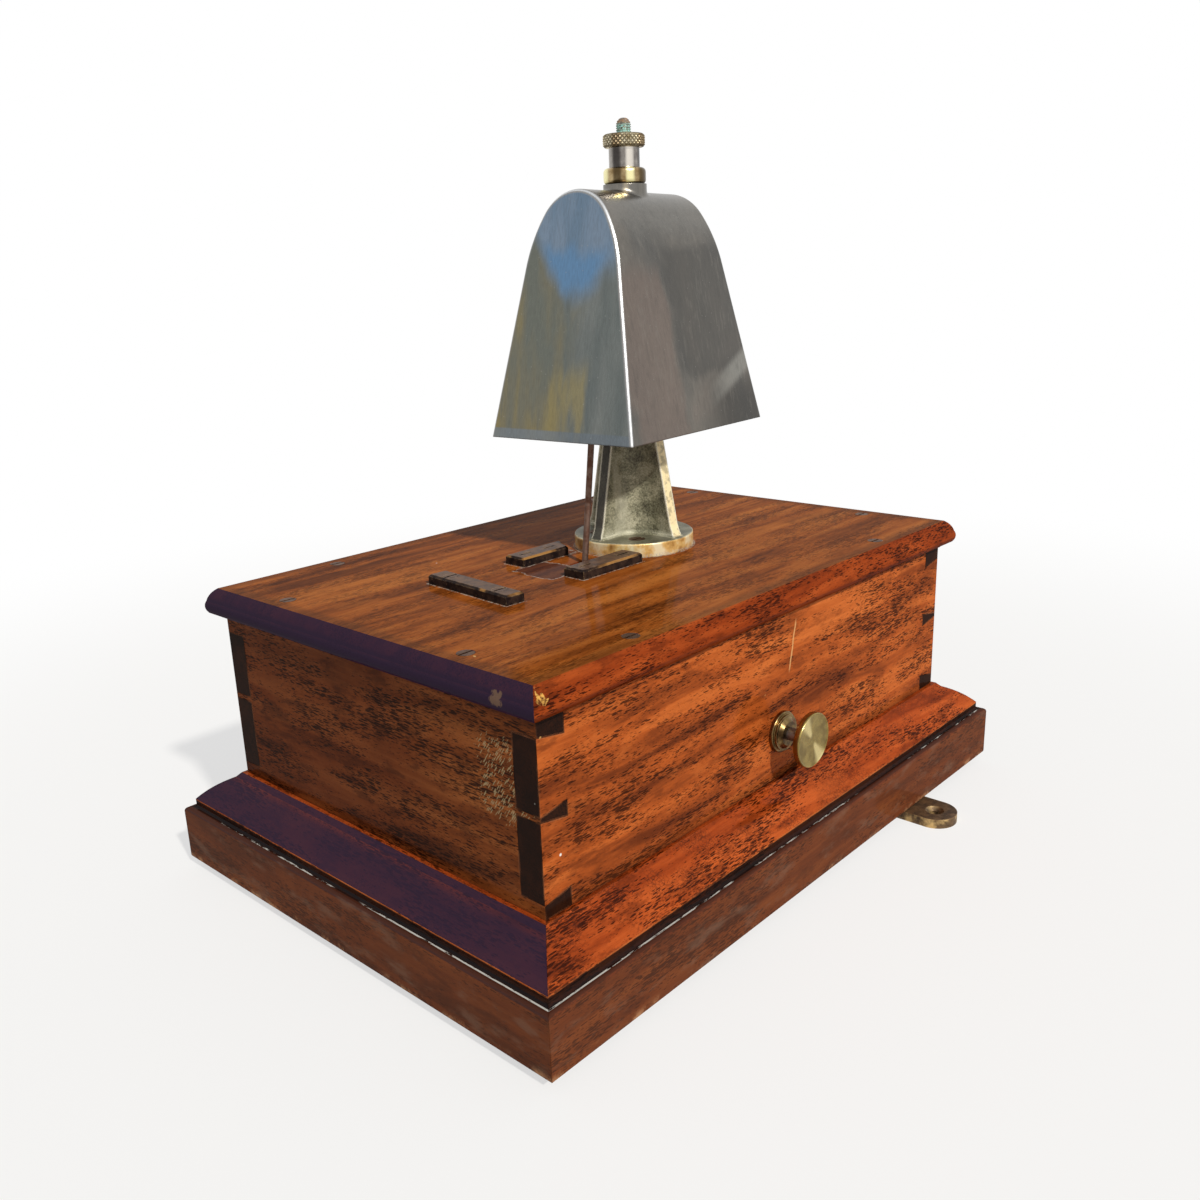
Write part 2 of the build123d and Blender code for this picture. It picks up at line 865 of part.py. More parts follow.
# Bell: the outer form less the inner one, with a neck above and a seat below the crown
bell_outside = bell_form(0)
bell_inside = bell_form(bell_wall)
with BuildPart() as bell:
    add(bell_outside)
    with BuildSketch(bell_axis.offset(bell_top - bell_wall)):
        Circle(bell_neck_radius)
    extrude(amount=bell_wall + bell_neck_height)
    neck_edges = bell.edges(Select.LAST).filter_by(GeomType.LINE, reverse=True)
    fillet(neck_edges.sort_by(Axis.Z)[:-1], bell_neck_round)
    add(bell_inside, mode=Mode.SUBTRACT)
    with BuildSketch(bell_axis.offset(boss_seat)):
        Circle(bell_boss_radius)
    extrude(amount=bell_top - bell_wall - boss_seat)
    with Locations((pillar_x, pillar_y, neck_top)):
        Hole(fitting_bore, neck_top - boss_seat)
bell.part.label = "bell"
export_step(bell.part, "parts/bell.step")


def turned_ring(bottom, height, radius, edge):
    """A ring bored to sit on the stud, its outer edges rounded."""
    with BuildPart() as ring:
        with BuildSketch(bell_axis.offset(bottom)):
            Circle(radius)
            Circle(fitting_bore, mode=Mode.SUBTRACT)
        extrude(amount=height)
        rims = ring.edges().filter_by(GeomType.CIRCLE).sort_by(SortBy.RADIUS)[-2:]
        fillet(rims, edge)
    return ring.part


# Collar, sleeve and knurled nut, stacked on the neck of the bell
bell_collar = turned_ring(neck_top, collar_height, collar_radius, collar_round)
bell_collar.label = "bell_collar"
export_step(bell_collar, "parts/bell_collar.step")

bell_sleeve = turned_ring(collar_top, sleeve_height, sleeve_radius, sleeve_round)
bell_sleeve.label = "bell_sleeve"
export_step(bell_sleeve, "parts/bell_sleeve.step")

knurled_nut = turned_ring(sleeve_top, nut_height, nut_radius, nut_round)
knurled_nut.label = "knurled_nut"
export_step(knurled_nut, "parts/knurled_nut.step")


def bar(plane, length, width, points, flange_gap):
    """A bar on the lid along the x of its plane, cut round the pillar flange and sunk."""
    with BuildPart() as piece:
        with BuildSketch(plane):
            Rectangle(length, width)
        extrude(amount=bar_thickness)
        with Locations((pillar_x, pillar_y, lid_top)):
            Cylinder(flange_radius + flange_gap, lid_thickness, mode=Mode.SUBTRACT)
        chamfer(piece.faces().sort_by(Axis.Z)[-1].edges(), bar_edge)
        with Locations(*down(points, lid_top + bar_thickness)):
            screw_hole(bar_head, bar_shank, bar_thickness)
    return piece.part


# Bars on the lid: those beside the hammer slot are hollowed to clear the pillar flange
front_bar = bar(
    Plane(origin=(front_bar_x, front_bar_centre, lid_top)),
    front_bar_length,
    slot_bar_width,
    front_bar_points,
    front_bar_flange_gap,
)
front_bar.label = "slot_bar_front"
export_step(front_bar, "parts/slot_bar_front.step")

back_bar = bar(
    Plane(origin=(back_bar_x, back_bar_centre, lid_top)),
    back_bar_length,
    slot_bar_width,
    back_bar_points,
    back_bar_flange_gap,
)
back_bar.label = "slot_bar_back"
export_step(back_bar, "parts/slot_bar_back.step")

side_bar_at = Plane(origin=(side_bar_x, 0, lid_top)).rotated(
    (0, 0, right_angle + side_bar_turn)
)
side_bar = bar(side_bar_at, side_bar_length, side_bar_width, side_bar_points, 0)
side_bar.label = "side_bar"
export_step(side_bar, "parts/side_bar.step")

bar_screw_length = bar_thickness + lid_thickness + pivot_plate
bar_screw_kind = countersunk_screw(bar_head, bar_shank, bar_screw_length)
bar_screws = screws_at(bar_screw_kind, down(bar_screw_points, lid_top + bar_thickness))
bar_screws.label = "bar_screws"
export_step(bar_screws, "parts/bar_screws.step")

# Hammer bracket: a plate under the lid with two cheeks that hold the pivot pin
cheek_gap = hub_length + 2 * slide_play
plate_front = front_bar_centre - slot_bar_width / 2
plate_back = back_bar_centre + slot_bar_width / 2
plate_x = slot_bar_left + pivot_plate_length / 2
pivot_plate_plane = Plane.XY.offset(lid_under - pivot_plate)
with BuildPart() as pivot_bracket:
    with BuildSketch(pivot_plate_plane):
        with Locations((plate_x, (plate_front + plate_back) / 2)):
            Rectangle(pivot_plate_length, plate_back - plate_front)
    extrude(amount=pivot_plate)
    for s in (-1, 1):
        cheek_y = hammer_y + s * (cheek_gap + pivot_cheek) / 2
        with BuildSketch(Plane.XY.offset(pivot_z)):
            with Locations((pivot_x, cheek_y)):
                Rectangle(pivot_cheek_width, pivot_cheek)
        extrude(amount=lid_under - pivot_z)
        with BuildSketch(
            Plane(
                origin=(pivot_x, cheek_y - pivot_cheek / 2, pivot_z), z_dir=(0, 1, 0)
            )
        ):
            Circle(pivot_cheek_width / 2)
        extrude(amount=pivot_cheek)
    with Locations(Plane(origin=(pivot_x, hammer_y, pivot_z), z_dir=(0, 1, 0))):
        Cylinder(
            pin_radius + seat_play / 2,
            cheek_gap + 4 * pivot_cheek,
            mode=Mode.SUBTRACT,
        )
    with BuildSketch(pivot_plate_plane):
        with Locations((hammer_x, hammer_y)):
            SlotOverall(slot_length + 2 * slot_clearance, slot_width)
    extrude(amount=pivot_plate, mode=Mode.SUBTRACT)
    with Locations(*down(front_bar_points + back_bar_points, lid_under)):
        Hole(bar_shank + hole_play, pivot_plate)
pivot_bracket.part.label = "pivot_bracket"
export_step(pivot_bracket.part, "parts/pivot_bracket.step")

# Pivot pin
pin_length = cheek_gap + 2 * (pivot_cheek + pin_ends)
with BuildPart() as pivot_pin:
    with Locations(Plane(origin=(pivot_x, hammer_y, pivot_z), z_dir=(0, 1, 0))):
        Cylinder(pin_radius, pin_length)
pivot_pin.part.label = "pivot_pin"
export_step(pivot_pin.part, "parts/pivot_pin.step")


def leaning(angle):
    """A plane at the pivot whose z leans towards +X by this angle."""
    lean = radians(angle)
    return Plane(
        origin=(pivot_x, hammer_y, pivot_z),
        x_dir=(cos(lean), 0, -sin(lean)),
        z_dir=(sin(lean), 0, cos(lean)),
    )


# Hub: the block that turns on the pin and carries the armature and the rod
rod_plane = leaning(hammer_lean)
armature_plane = leaning(strike_angle)
hub_pin_plane = Plane(
    origin=(pivot_x, hammer_y, pivot_z), x_dir=armature_plane.x_dir, z_dir=(0, 1, 0)
)
hub_half = hub_width / 2
armature_screw_points = [
    armature_plane.from_local_coords((hub_half + armature_thickness, s * hub_length / 4, 0))
    for s in (-1, 1)
]
armature_screw_planes = [
    Plane(origin=point, x_dir=(0, 1, 0), z_dir=armature_plane.x_dir)
    for point in armature_screw_points
]
rod_seat = hub_height / 2 - rod_socket
with BuildPart() as hammer_hub:
    with BuildSketch(armature_plane.offset(-hub_height / 2)):
        Rectangle(hub_width, hub_length)
    extrude(amount=hub_height)
    with Locations(hub_pin_plane):
        Cylinder(pin_radius + running_play, 2 * hub_length, mode=Mode.SUBTRACT)
    with BuildSketch(rod_plane.offset(rod_seat)):
        Circle(rod_radius + hole_play)
    extrude(amount=hub_height, mode=Mode.SUBTRACT)
    with Locations(*armature_screw_planes):
        Hole(small_shank + hole_play, armature_thickness + small_grip + hole_play)
hammer_hub.part.label = "hammer_hub"
export_step(hammer_hub.part, "parts/hammer_hub.step")

# Armature: the iron plate on the hub that the magnet pulls
with BuildPart() as armature:
    with BuildSketch(armature_plane.offset(-armature_drop)):
        with Locations((hub_half + armature_thickness / 2, 0)):
            Rectangle(armature_thickness, armature_width)
    extrude(amount=armature_drop - hub_height / 2)
    with BuildSketch(armature_plane.offset(-hub_height / 2)):
        with Locations((hub_half + armature_thickness / 2, 0)):
            Rectangle(armature_thickness, hub_length)
    extrude(amount=hub_height / 2 + armature_rise)
    with Locations(*armature_screw_planes):
        screw_hole(small_head, small_shank, armature_thickness)
armature.part.label = "armature"
export_step(armature.part, "parts/armature.step")

armature_screw_kind = countersunk_screw(small_head, small_shank, armature_thickness + small_grip)
armature_screws = screws_at(armature_screw_kind, armature_screw_planes)
armature_screws.label = "armature_screws"
export_step(armature_screws, "parts/armature_screws.step")

# Hammer rod
with BuildPart() as hammer_rod:
    with BuildSketch(rod_plane.offset(rod_seat)):
        Circle(rod_radius)
    extrude(amount=rod_length - rod_seat)
hammer_rod.part.label = "hammer_rod"
export_step(hammer_rod.part, "parts/hammer_rod.step")

# Hammer head: as long as brings its dome to the bell's inner wall at the end of the stroke
strike_lean = radians(hammer_lean - strike_angle)
end_slope = radians(bell_end_slope)
turn = radians(bell_turn)
outward = Vector(-cos(end_slope) * cos(turn), -cos(end_slope) * sin(turn), sin(end_slope))
wall_foot = bell_half_length - bell_wall / cos(end_slope)
wall_point = Vector(
    pillar_x - wall_foot * cos(turn), pillar_y - wall_foot * sin(turn), bell_mouth
)
head_at_strike = Vector(
    pivot_x + rod_length * sin(strike_lean),
    hammer_y,
    pivot_z + rod_length * cos(strike_lean),
)
thrust = Vector(-cos(strike_lean), 0, sin(strike_lean))
head_stand = ((wall_point - head_at_strike).dot(outward) - head_dome - strike_gap) / thrust.dot(
    outward
)
head_face = head_stand + head_dome
dome_edge = head_stand + (head_dome**2 - head_radius**2) ** 0.5
head_plane = Plane(
    origin=rod_plane.from_local_coords((0, 0, rod_length)),
    x_dir=rod_plane.x_dir,
    z_dir=(0, -1, 0),
)
with BuildPart() as hammer_head:
    with BuildSketch(head_plane):
        with BuildLine():
            Polyline(
                (-head_face, 0),
                (head_tail, 0),
                (head_tail, head_radius),
                (-dome_edge, head_radius),
            )
            bow = (head_dome**2 - head_radius**2 / 4) ** 0.5
            ThreePointArc(
                (-dome_edge, head_radius),
                (-head_stand - bow, head_radius / 2),
                (-head_face, 0),
            )
        make_face()
    revolve(axis=Axis(head_plane.origin, head_plane.x_dir))
    with BuildSketch(rod_plane.offset(rod_length - 2 * head_radius)):
        Circle(rod_radius + hole_play)
    extrude(amount=2 * head_radius + hole_play, mode=Mode.SUBTRACT)
hammer_head.part.label = "hammer_head"
export_step(hammer_head.part, "parts/hammer_head.step")

# Electromagnet: two cores on an iron yoke, with bobbins and windings, under the pillar
pole_x = pivot_x + hub_half + armature_thickness + air_gap
core_z = pivot_z - core_drop
core_ys = [hammer_y - core_pitch / 2, hammer_y + core_pitch / 2]
yoke_x = pole_x + core_length


def coil_rods(start, radius, length):
    """Solid rods along +X from here, one on each coil's axis."""
    with BuildPart() as rods:
        for y in core_ys:
            with BuildSketch(
                Plane(origin=(start, y, core_z), x_dir=(0, 1, 0), z_dir=(1, 0, 0))
            ):
                Circle(radius)
            extrude(amount=length)
    return rods.part


with BuildPart() as magnet_cores:
    add(coil_rods(pole_x, core_radius, core_length))
    add(
        coil_rods(yoke_x - yoke_screw_reach, bar_shank + hole_play, yoke_screw_reach),
        mode=Mode.SUBTRACT,
    )
magnet_cores.part.label = "magnet_cores"
export_step(magnet_cores.part, "parts/magnet_cores.step")

bobbin_start = pole_x + pole_stand
bobbin_length = core_length - pole_stand
core_hole = core_radius + hole_play
with BuildPart() as coil_bobbins:
    add(coil_rods(bobbin_start, core_hole + bobbin_tube, bobbin_length))
    add(coil_rods(bobbin_start, cheek_radius, bobbin_cheek))
    add(coil_rods(yoke_x - bobbin_cheek, cheek_radius, bobbin_cheek))
    add(coil_rods(bobbin_start, core_hole, bobbin_length), mode=Mode.SUBTRACT)
coil_bobbins.part.label = "coil_bobbins"
export_step(coil_bobbins.part, "parts/coil_bobbins.step")

winding_start = bobbin_start + bobbin_cheek
winding_length = bobbin_length - 2 * bobbin_cheek
with BuildPart() as coil_windings:
    add(coil_rods(winding_start, winding_radius, winding_length))
    add(
        coil_rods(winding_start, core_hole + bobbin_tube + hole_play, winding_length),
        mode=Mode.SUBTRACT,
    )
coil_windings.part.label = "coil_windings"
export_step(coil_windings.part, "parts/coil_windings.step")

yoke_width = core_pitch + 2 * yoke_margin
yoke_screw_length = yoke_thickness + bracket_plate + yoke_screw_reach - hole_play
yoke_screw_planes = [
    Plane(
        origin=(yoke_x + yoke_thickness + bracket_plate, y, core_z),
        x_dir=(0, 1, 0),
        z_dir=(1, 0, 0),
    )
    for y in core_ys
]
with BuildPart() as magnet_yoke:
    with BuildSketch(
        Plane(origin=(yoke_x, hammer_y, core_z), x_dir=(0, 1, 0), z_dir=(1, 0, 0))
    ):
        Rectangle(yoke_width, yoke_height)
    extrude(amount=yoke_thickness)
    with Locations(*yoke_screw_planes):
        Hole(bar_shank + hole_play, yoke_thickness + bracket_plate)
magnet_yoke.part.label = "magnet_yoke"
export_step(magnet_yoke.part, "parts/magnet_yoke.step")

# Magnet bracket: a foot under the lid, held by the pillar screws, and a leg for the yoke
leg_x = yoke_x + yoke_thickness
foot_back = leg_x + bracket_plate
foot_front = pillar_x - magnet_foot / 2
leg_low = core_z - yoke_height / 2
with BuildPart() as magnet_bracket:
    with BuildSketch(Plane.XY.offset(lid_under - bracket_plate)):
        with Locations(((foot_front + foot_back) / 2, pillar_y)):
            Rectangle(foot_back - foot_front, magnet_foot)
    extrude(amount=bracket_plate)
    with BuildSketch(Plane.XY.offset(leg_low)):
        with Locations((leg_x + bracket_plate / 2, pillar_y)):
            Rectangle(bracket_plate, magnet_foot)
    extrude(amount=lid_under - bracket_plate - leg_low)
    with Locations(*down(pillar_screw_points, lid_under)):
        Hole(pillar_shank + hole_play, bracket_plate)
    with Locations(*yoke_screw_planes):
        screw_hole(bar_head, bar_shank, bracket_plate)
magnet_bracket.part.label = "magnet_bracket"
export_step(magnet_bracket.part, "parts/magnet_bracket.step")

yoke_screw_kind = countersunk_screw(bar_head, bar_shank, yoke_screw_length)
yoke_screws = screws_at(yoke_screw_kind, yoke_screw_planes)
yoke_screws.label = "yoke_screws"
export_step(yoke_screws, "parts/yoke_screws.step")

# Back stop: a bracket under the side bar, with an adjusting screw behind the armature
stop_z = pivot_z - armature_drop + stop_screw_rise
back_x = armature_plane.from_local_coords((hub_half, 0, stop_z - pivot_z)).X
stop_tip_x = back_x - stop_gap
with BuildPart() as stop_bracket:
    with BuildSketch(Plane.XY.offset(lid_under - stop_plate)):
        with Locations(Location((side_bar_x, 0), side_bar_turn)):
            Rectangle(side_bar_width + 2 * stop_foot_margin, side_bar_length)
        with Locations(((side_bar_x + stop_leg_x) / 2, hammer_y)):
            Rectangle(stop_leg_x - side_bar_x, stop_width)
    extrude(amount=stop_plate)
    with BuildSketch(Plane.XY.offset(stop_z - stop_width / 2)):
        with Locations((stop_leg_x - stop_plate / 2, hammer_y)):
            Rectangle(stop_plate, stop_width)
    extrude(amount=lid_under - stop_plate - stop_z + stop_width / 2)
    with Locations(*down(side_bar_points, lid_under)):
        Hole(bar_shank + hole_play, stop_plate)
    with Locations(Plane(origin=(stop_leg_x, hammer_y, stop_z), z_dir=(1, 0, 0))):
        Hole(stop_screw_radius + hole_play, stop_plate)
stop_bracket.part.label = "stop_bracket"
export_step(stop_bracket.part, "parts/stop_bracket.step")

stop_start_x = stop_leg_x - stop_plate - stop_screw_tail
with BuildPart() as stop_screw:
    with BuildSketch(Plane(origin=(stop_start_x, hammer_y, stop_z), z_dir=(1, 0, 0))):
        Circle(stop_screw_radius)
    extrude(amount=stop_tip_x - stop_start_x)
    fillet(stop_screw.faces().sort_by(Axis.X)[-1].edges(), stop_screw_radius * tip_round)
    with BuildSketch(Plane(origin=(stop_start_x, hammer_y, stop_z), z_dir=(-1, 0, 0))):
        Circle(stop_screw_head)
    extrude(amount=stop_head_height)
    with Locations((stop_start_x - stop_head_height + driver_depth / 2, hammer_y, stop_z)):
        Box(driver_depth, 2 * stop_screw_head, driver_slot, mode=Mode.SUBTRACT)
stop_screw.part.label = "stop_screw"
export_step(stop_screw.part, "parts/stop_screw.step")

with BuildPart() as stop_nut:
    with BuildSketch(
        Plane(origin=(stop_leg_x - stop_plate, hammer_y, stop_z), z_dir=(-1, 0, 0))
    ):
        RegularPolygon(stop_nut_across / 2, 6, major_radius=False)
        Circle(stop_screw_radius + hole_play, mode=Mode.SUBTRACT)
    extrude(amount=stop_nut_height)
stop_nut.part.label = "stop_nut"
export_step(stop_nut.part, "parts/stop_nut.step")

# Return spring between the bracket and the armature, a plain tube as it is out of sight
spring_z = stop_z + spring_rise
spring_end_x = armature_plane.from_local_coords((hub_half, 0, spring_z - pivot_z)).X
with BuildPart() as return_spring:
    with BuildSketch(
        Plane(origin=(stop_leg_x, hammer_y, spring_z), z_dir=(1, 0, 0))
    ):
        Circle(spring_radius)
        Circle(spring_radius - spring_wire, mode=Mode.SUBTRACT)
    extrude(amount=spring_end_x - stop_leg_x - 2 * stop_gap)
return_spring.part.label = "return_spring"
export_step(return_spring.part, "parts/return_spring.step")


def inward(y):
    """A plane across the plunger at this y, facing into the case."""
    return Plane(origin=(plunger_x, y, plunger_z), x_dir=(-1, 0, 0), z_dir=(0, 1, 0))


# Rose: the turned bush that guides the plunger through the front board
stem_bore = stem_radius + running_play
with BuildPart() as plunger_rose:
    with BuildSketch(inward(-half_width - rose_rim)):
        Circle(rose_radius)
    extrude(amount=rose_rim)
    fillet(plunger_rose.faces().sort_by(Axis.Y)[0].edges(), rose_edge)
    with BuildSketch(inward(-half_width - rose_step)):
        Circle(rose_step_radius)
    extrude(amount=rose_step - rose_rim)
    with BuildSketch(inward(-half_width - rose_stand)):
        Circle(rose_boss_radius)
    with BuildSketch(inward(-half_width - rose_step)):
        Circle(rose_cone_radius)
    loft(ruled=True)
    with BuildSketch(inward(-half_width)):
        Circle(rose_tail_radius)
    extrude(amount=long_board + rose_tail_out)
    with Locations(inward(-half_width)):
        Cylinder(stem_bore, case_width / 2, mode=Mode.SUBTRACT)
plunger_rose.part.label = "plunger_rose"
export_step(plunger_rose.part, "parts/plunger_rose.step")

with BuildPart() as rose_nut:
    with BuildSketch(inward(front_inside)):
        RegularPolygon(rose_nut_across / 2, 6, major_radius=False)
        Circle(rose_tail_radius + hole_play, mode=Mode.SUBTRACT)
    extrude(amount=rose_nut_height)
rose_nut.part.label = "rose_nut"
export_step(rose_nut.part, "parts/rose_nut.step")

# Plunger: a turned knob screwed on a steel stem
with BuildPart() as plunger_knob:
    with BuildSketch(
        Plane(origin=(plunger_x, 0, plunger_z), x_dir=(1, 0, 0), z_dir=(0, 0, 1))
    ):
        with BuildLine():
            Polyline(
                (0, knob_hub),
                (0, knob_face),
                (knob_radius - knob_edge, knob_face),
            )
            RadiusArc(
                (knob_radius - knob_edge, knob_face), (knob_radius, knob_face + knob_edge), -knob_edge
            )
            Line((knob_radius, knob_face + knob_edge), (knob_radius, knob_back - knob_edge))
            RadiusArc(
                (knob_radius, knob_back - knob_edge), (knob_radius - knob_edge, knob_back), -knob_edge
            )
            throat = (knob_neck_radius, knob_hub)
            TangentArc((knob_radius - knob_edge, knob_back), throat, tangent=(-1, 0))
            Line(throat, (0, knob_hub))
        make_face()
    revolve(axis=Axis((plunger_x, 0, plunger_z), (0, 1, 0)))
    with BuildSketch(inward(knob_hub - stem_in_knob)):
        Circle(stem_radius + hole_play / 2)
    extrude(amount=stem_in_knob, mode=Mode.SUBTRACT)
plunger_knob.part.label = "plunger_knob"
export_step(plunger_knob.part, "parts/plunger_knob.step")

with BuildPart() as plunger_stem:
    with BuildSketch(inward(knob_hub - stem_in_knob + hole_play)):
        Circle(stem_radius)
    extrude(amount=stem_end - knob_hub + stem_in_knob - hole_play)
    fillet(plunger_stem.faces().sort_by(Axis.Y)[-1].edges(), stem_radius / 2)
plunger_stem.part.label = "plunger_stem"
export_step(plunger_stem.part, "parts/plunger_stem.step")

# Collar fixed on the stem: it meets the rose and takes the spring
with BuildPart() as stem_collar:
    with BuildSketch(inward(collar_start)):
        Circle(stop_collar_radius)
        Circle(stem_radius + hole_play / 2, mode=Mode.SUBTRACT)
    extrude(amount=stop_collar_height)
stem_collar.part.label = "stem_collar"
export_step(stem_collar.part, "parts/stem_collar.step")

with BuildPart() as plunger_spring:
    with BuildSketch(inward(collar_end)):
        Circle(plunger_spring_radius)
        Circle(plunger_spring_radius - plunger_spring_wire, mode=Mode.SUBTRACT)
    extrude(amount=plunger_spring_length)
plunger_spring.part.label = "plunger_spring"
export_step(plunger_spring.part, "parts/plunger_spring.step")

# Frame: a bent strap on the front board that guides the inner end of the stem
strap = frame_thickness
strap_half = frame_width / 2
with BuildPart() as plunger_frame:
    with BuildSketch(Plane.XY.offset(plunger_z - frame_height / 2)):
        with Locations((plunger_x, web_y + strap / 2)):
            Rectangle(frame_width, strap)
        for s in (-1, 1):
            arm_x = plunger_x + s * (strap_half - strap / 2)
            foot_x = plunger_x + s * (strap_half + frame_foot / 2)
            with Locations((arm_x, (front_inside + web_y) / 2)):
                Rectangle(strap, web_y - front_inside)
            with Locations((foot_x - s * strap / 2, front_inside + strap / 2)):
                Rectangle(frame_foot + strap, strap)
    extrude(amount=frame_height)
    with Locations(inward(web_y)):
        Cylinder(stem_bore, 4 * strap, mode=Mode.SUBTRACT)
    frame_heads = [
        Plane(origin=plane.origin + Vector(0, strap, 0), z_dir=(0, 1, 0))
        for plane in frame_screw_planes
    ]
    with Locations(*frame_heads):
        screw_hole(wood_head, wood_shank, strap)
plunger_frame.part.label = "plunger_frame"
export_step(plunger_frame.part, "parts/plunger_frame.step")

# Contact arm: a strip on a pin, which the plunger pushes against the fixed contact
arm_pin_plane = Plane(
    origin=(plunger_x, arm_y, arm_pivot_z), x_dir=(0, 1, 0), z_dir=(1, 0, 0)
)
with BuildPart() as contact_arm:
    with BuildSketch(arm_pin_plane):
        Circle(contact_eye_radius)
    extrude(amount=contact_arm_width / 2, both=True)
    with BuildSketch(Plane.XY.offset(plunger_z - contact_arm_tip)):
        with Locations((plunger_x, arm_y)):
            Rectangle(contact_arm_width, contact_arm_thickness)
    extrude(amount=contact_arm_length + contact_arm_tip)
    with Locations(arm_pin_plane):
        Cylinder(
            contact_pin_radius + running_play, 2 * contact_arm_width, mode=Mode.SUBTRACT
        )
contact_arm.part.label = "contact_arm"
export_step(contact_arm.part, "parts/contact_arm.step")

fixed_screw_plane = Plane(
    origin=(plunger_x, fixed_y + fixed_contact_thickness, lid_under - fixed_screw_drop),
    z_dir=(0, 1, 0),
)
slot_gap = contact_arm_width + 2 * slide_play + 2 * (arm_spring_width + hole_play)
with BuildPart() as contact_block:
    with BuildSketch(Plane.XY.offset(block_low)):
        with Locations((plunger_x, block_middle)):
            Rectangle(contact_block_width, contact_block_depth)
    extrude(amount=lid_under - block_low)
    with BuildSketch(Plane.XY.offset(lid_under - contact_flange)):
        with Locations((plunger_x, block_middle)):
            Rectangle(contact_block_width + 2 * contact_flange_reach, contact_block_depth)
    extrude(amount=contact_flange)
    with BuildSketch(Plane.XY.offset(block_low)):
        with Locations((plunger_x, block_middle)):
            Rectangle(slot_gap, contact_block_depth)
    extrude(amount=contact_block_below + contact_slot_above, mode=Mode.SUBTRACT)
    with Locations(arm_pin_plane):
        Cylinder(
            contact_pin_radius + hole_play, contact_block_width, mode=Mode.SUBTRACT
        )
    with Locations(*up(block_screw_points, lid_under - contact_flange)):
        screw_hole(wood_head, wood_shank, contact_flange)
    with Locations(fixed_screw_plane):
        screw_hole(wood_head, wood_shank, fitting_screw_length)
contact_block.part.label = "contact_block"
export_step(contact_block.part, "parts/contact_block.step")

with BuildPart() as contact_pin:
    with Locations(arm_pin_plane):
        Cylinder(contact_pin_radius, contact_block_width)
contact_pin.part.label = "contact_pin"
export_step(contact_pin.part, "parts/contact_pin.step")

# Coil on the pin that swings the arm back
with BuildPart() as arm_spring:
    with BuildSketch(arm_pin_plane.offset(contact_arm_width / 2 + slide_play)):
        Circle(contact_eye_radius)
        Circle(contact_eye_radius - arm_spring_wire, mode=Mode.SUBTRACT)
    extrude(amount=arm_spring_width)
arm_spring.part.label = "arm_spring"
export_step(arm_spring.part, "parts/arm_spring.step")

# Fixed contact: a strip behind the block with a stud that faces the arm
pressed_y = arm_y + contact_arm_thickness / 2 + plunger_travel + 2 * arm_gap
with BuildPart() as fixed_contact:
    with BuildSketch(Plane.XY.offset(plunger_z - contact_arm_tip)):
        with Locations((plunger_x, fixed_y + fixed_contact_thickness / 2)):
            Rectangle(fixed_contact_width, fixed_contact_thickness)
    extrude(amount=lid_under - fixed_contact_below - plunger_z + contact_arm_tip)
    with BuildSketch(Plane(origin=(plunger_x, pressed_y, plunger_z), z_dir=(0, 1, 0))):
        Circle(contact_stud_radius)
    extrude(amount=fixed_y - pressed_y)
    with Locations(fixed_screw_plane):
        screw_hole(wood_head, wood_shank, fitting_screw_length)
fixed_contact.part.label = "fixed_contact"
export_step(fixed_contact.part, "parts/fixed_contact.step")

# Small screws of the strap, of the contact block and of the fixed contact
fitting_screw_kind = countersunk_screw(wood_head, wood_shank, fitting_screw_length - hole_play)
fitting_screws = screws_at(
    fitting_screw_kind,
    frame_heads + up(block_screw_points, lid_under - contact_flange) + [fixed_screw_plane],
)
fitting_screws.label = "fitting_screws"
export_step(fitting_screws, "parts/fitting_screws.step")

# Terminals: an ebonite block on the floor of the case with four studs and nuts
block_length = (terminal_count - 1) * terminal_pitch + 2 * terminal_block_margin
with BuildPart() as terminal_block:
    with BuildSketch(Plane.XY.offset(lug_thickness)):
        with Locations((0, terminal_y)):
            Rectangle(block_length, terminal_block_width)
    extrude(amount=terminal_block_height)
    with Locations(*down(terminal_points, lug_thickness + terminal_block_height)):
        Hole(terminal_stud_radius + hole_play, terminal_block_height / 2)
    with Locations(*up(terminal_screw_points, lug_thickness)):
        Hole(wood_shank + hole_play, floor_screw_length)
terminal_block.part.label = "terminal_block"
export_step(terminal_block.part, "parts/terminal_block.step")

terminal_foot = lug_thickness + terminal_block_height / 2
with BuildPart() as terminal_studs:
    for point in terminal_points:
        with BuildSketch(Plane.XY.offset(terminal_foot)):
            with Locations(point):
                Circle(terminal_stud_radius)
        extrude(amount=terminal_block_height / 2 + terminal_stud_height)
terminal_studs.part.label = "terminal_studs"
export_step(terminal_studs.part, "parts/terminal_studs.step")

with BuildPart() as terminal_nuts:
    for point in terminal_points:
        with BuildSketch(
            Plane.XY.offset(lug_thickness + terminal_block_height + terminal_nut_lift)
        ):
            with Locations(point):
                Circle(terminal_nut_radius)
                Circle(terminal_stud_radius + hole_play, mode=Mode.SUBTRACT)
        extrude(amount=terminal_nut_height)
terminal_nuts.part.label = "terminal_nuts"
export_step(terminal_nuts.part, "parts/terminal_nuts.step")
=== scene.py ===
"""The looks of a signal box block bell, built as an add-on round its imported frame."""

import math

import bmesh
import bpy
import numpy as np
from mathutils import Matrix, Vector


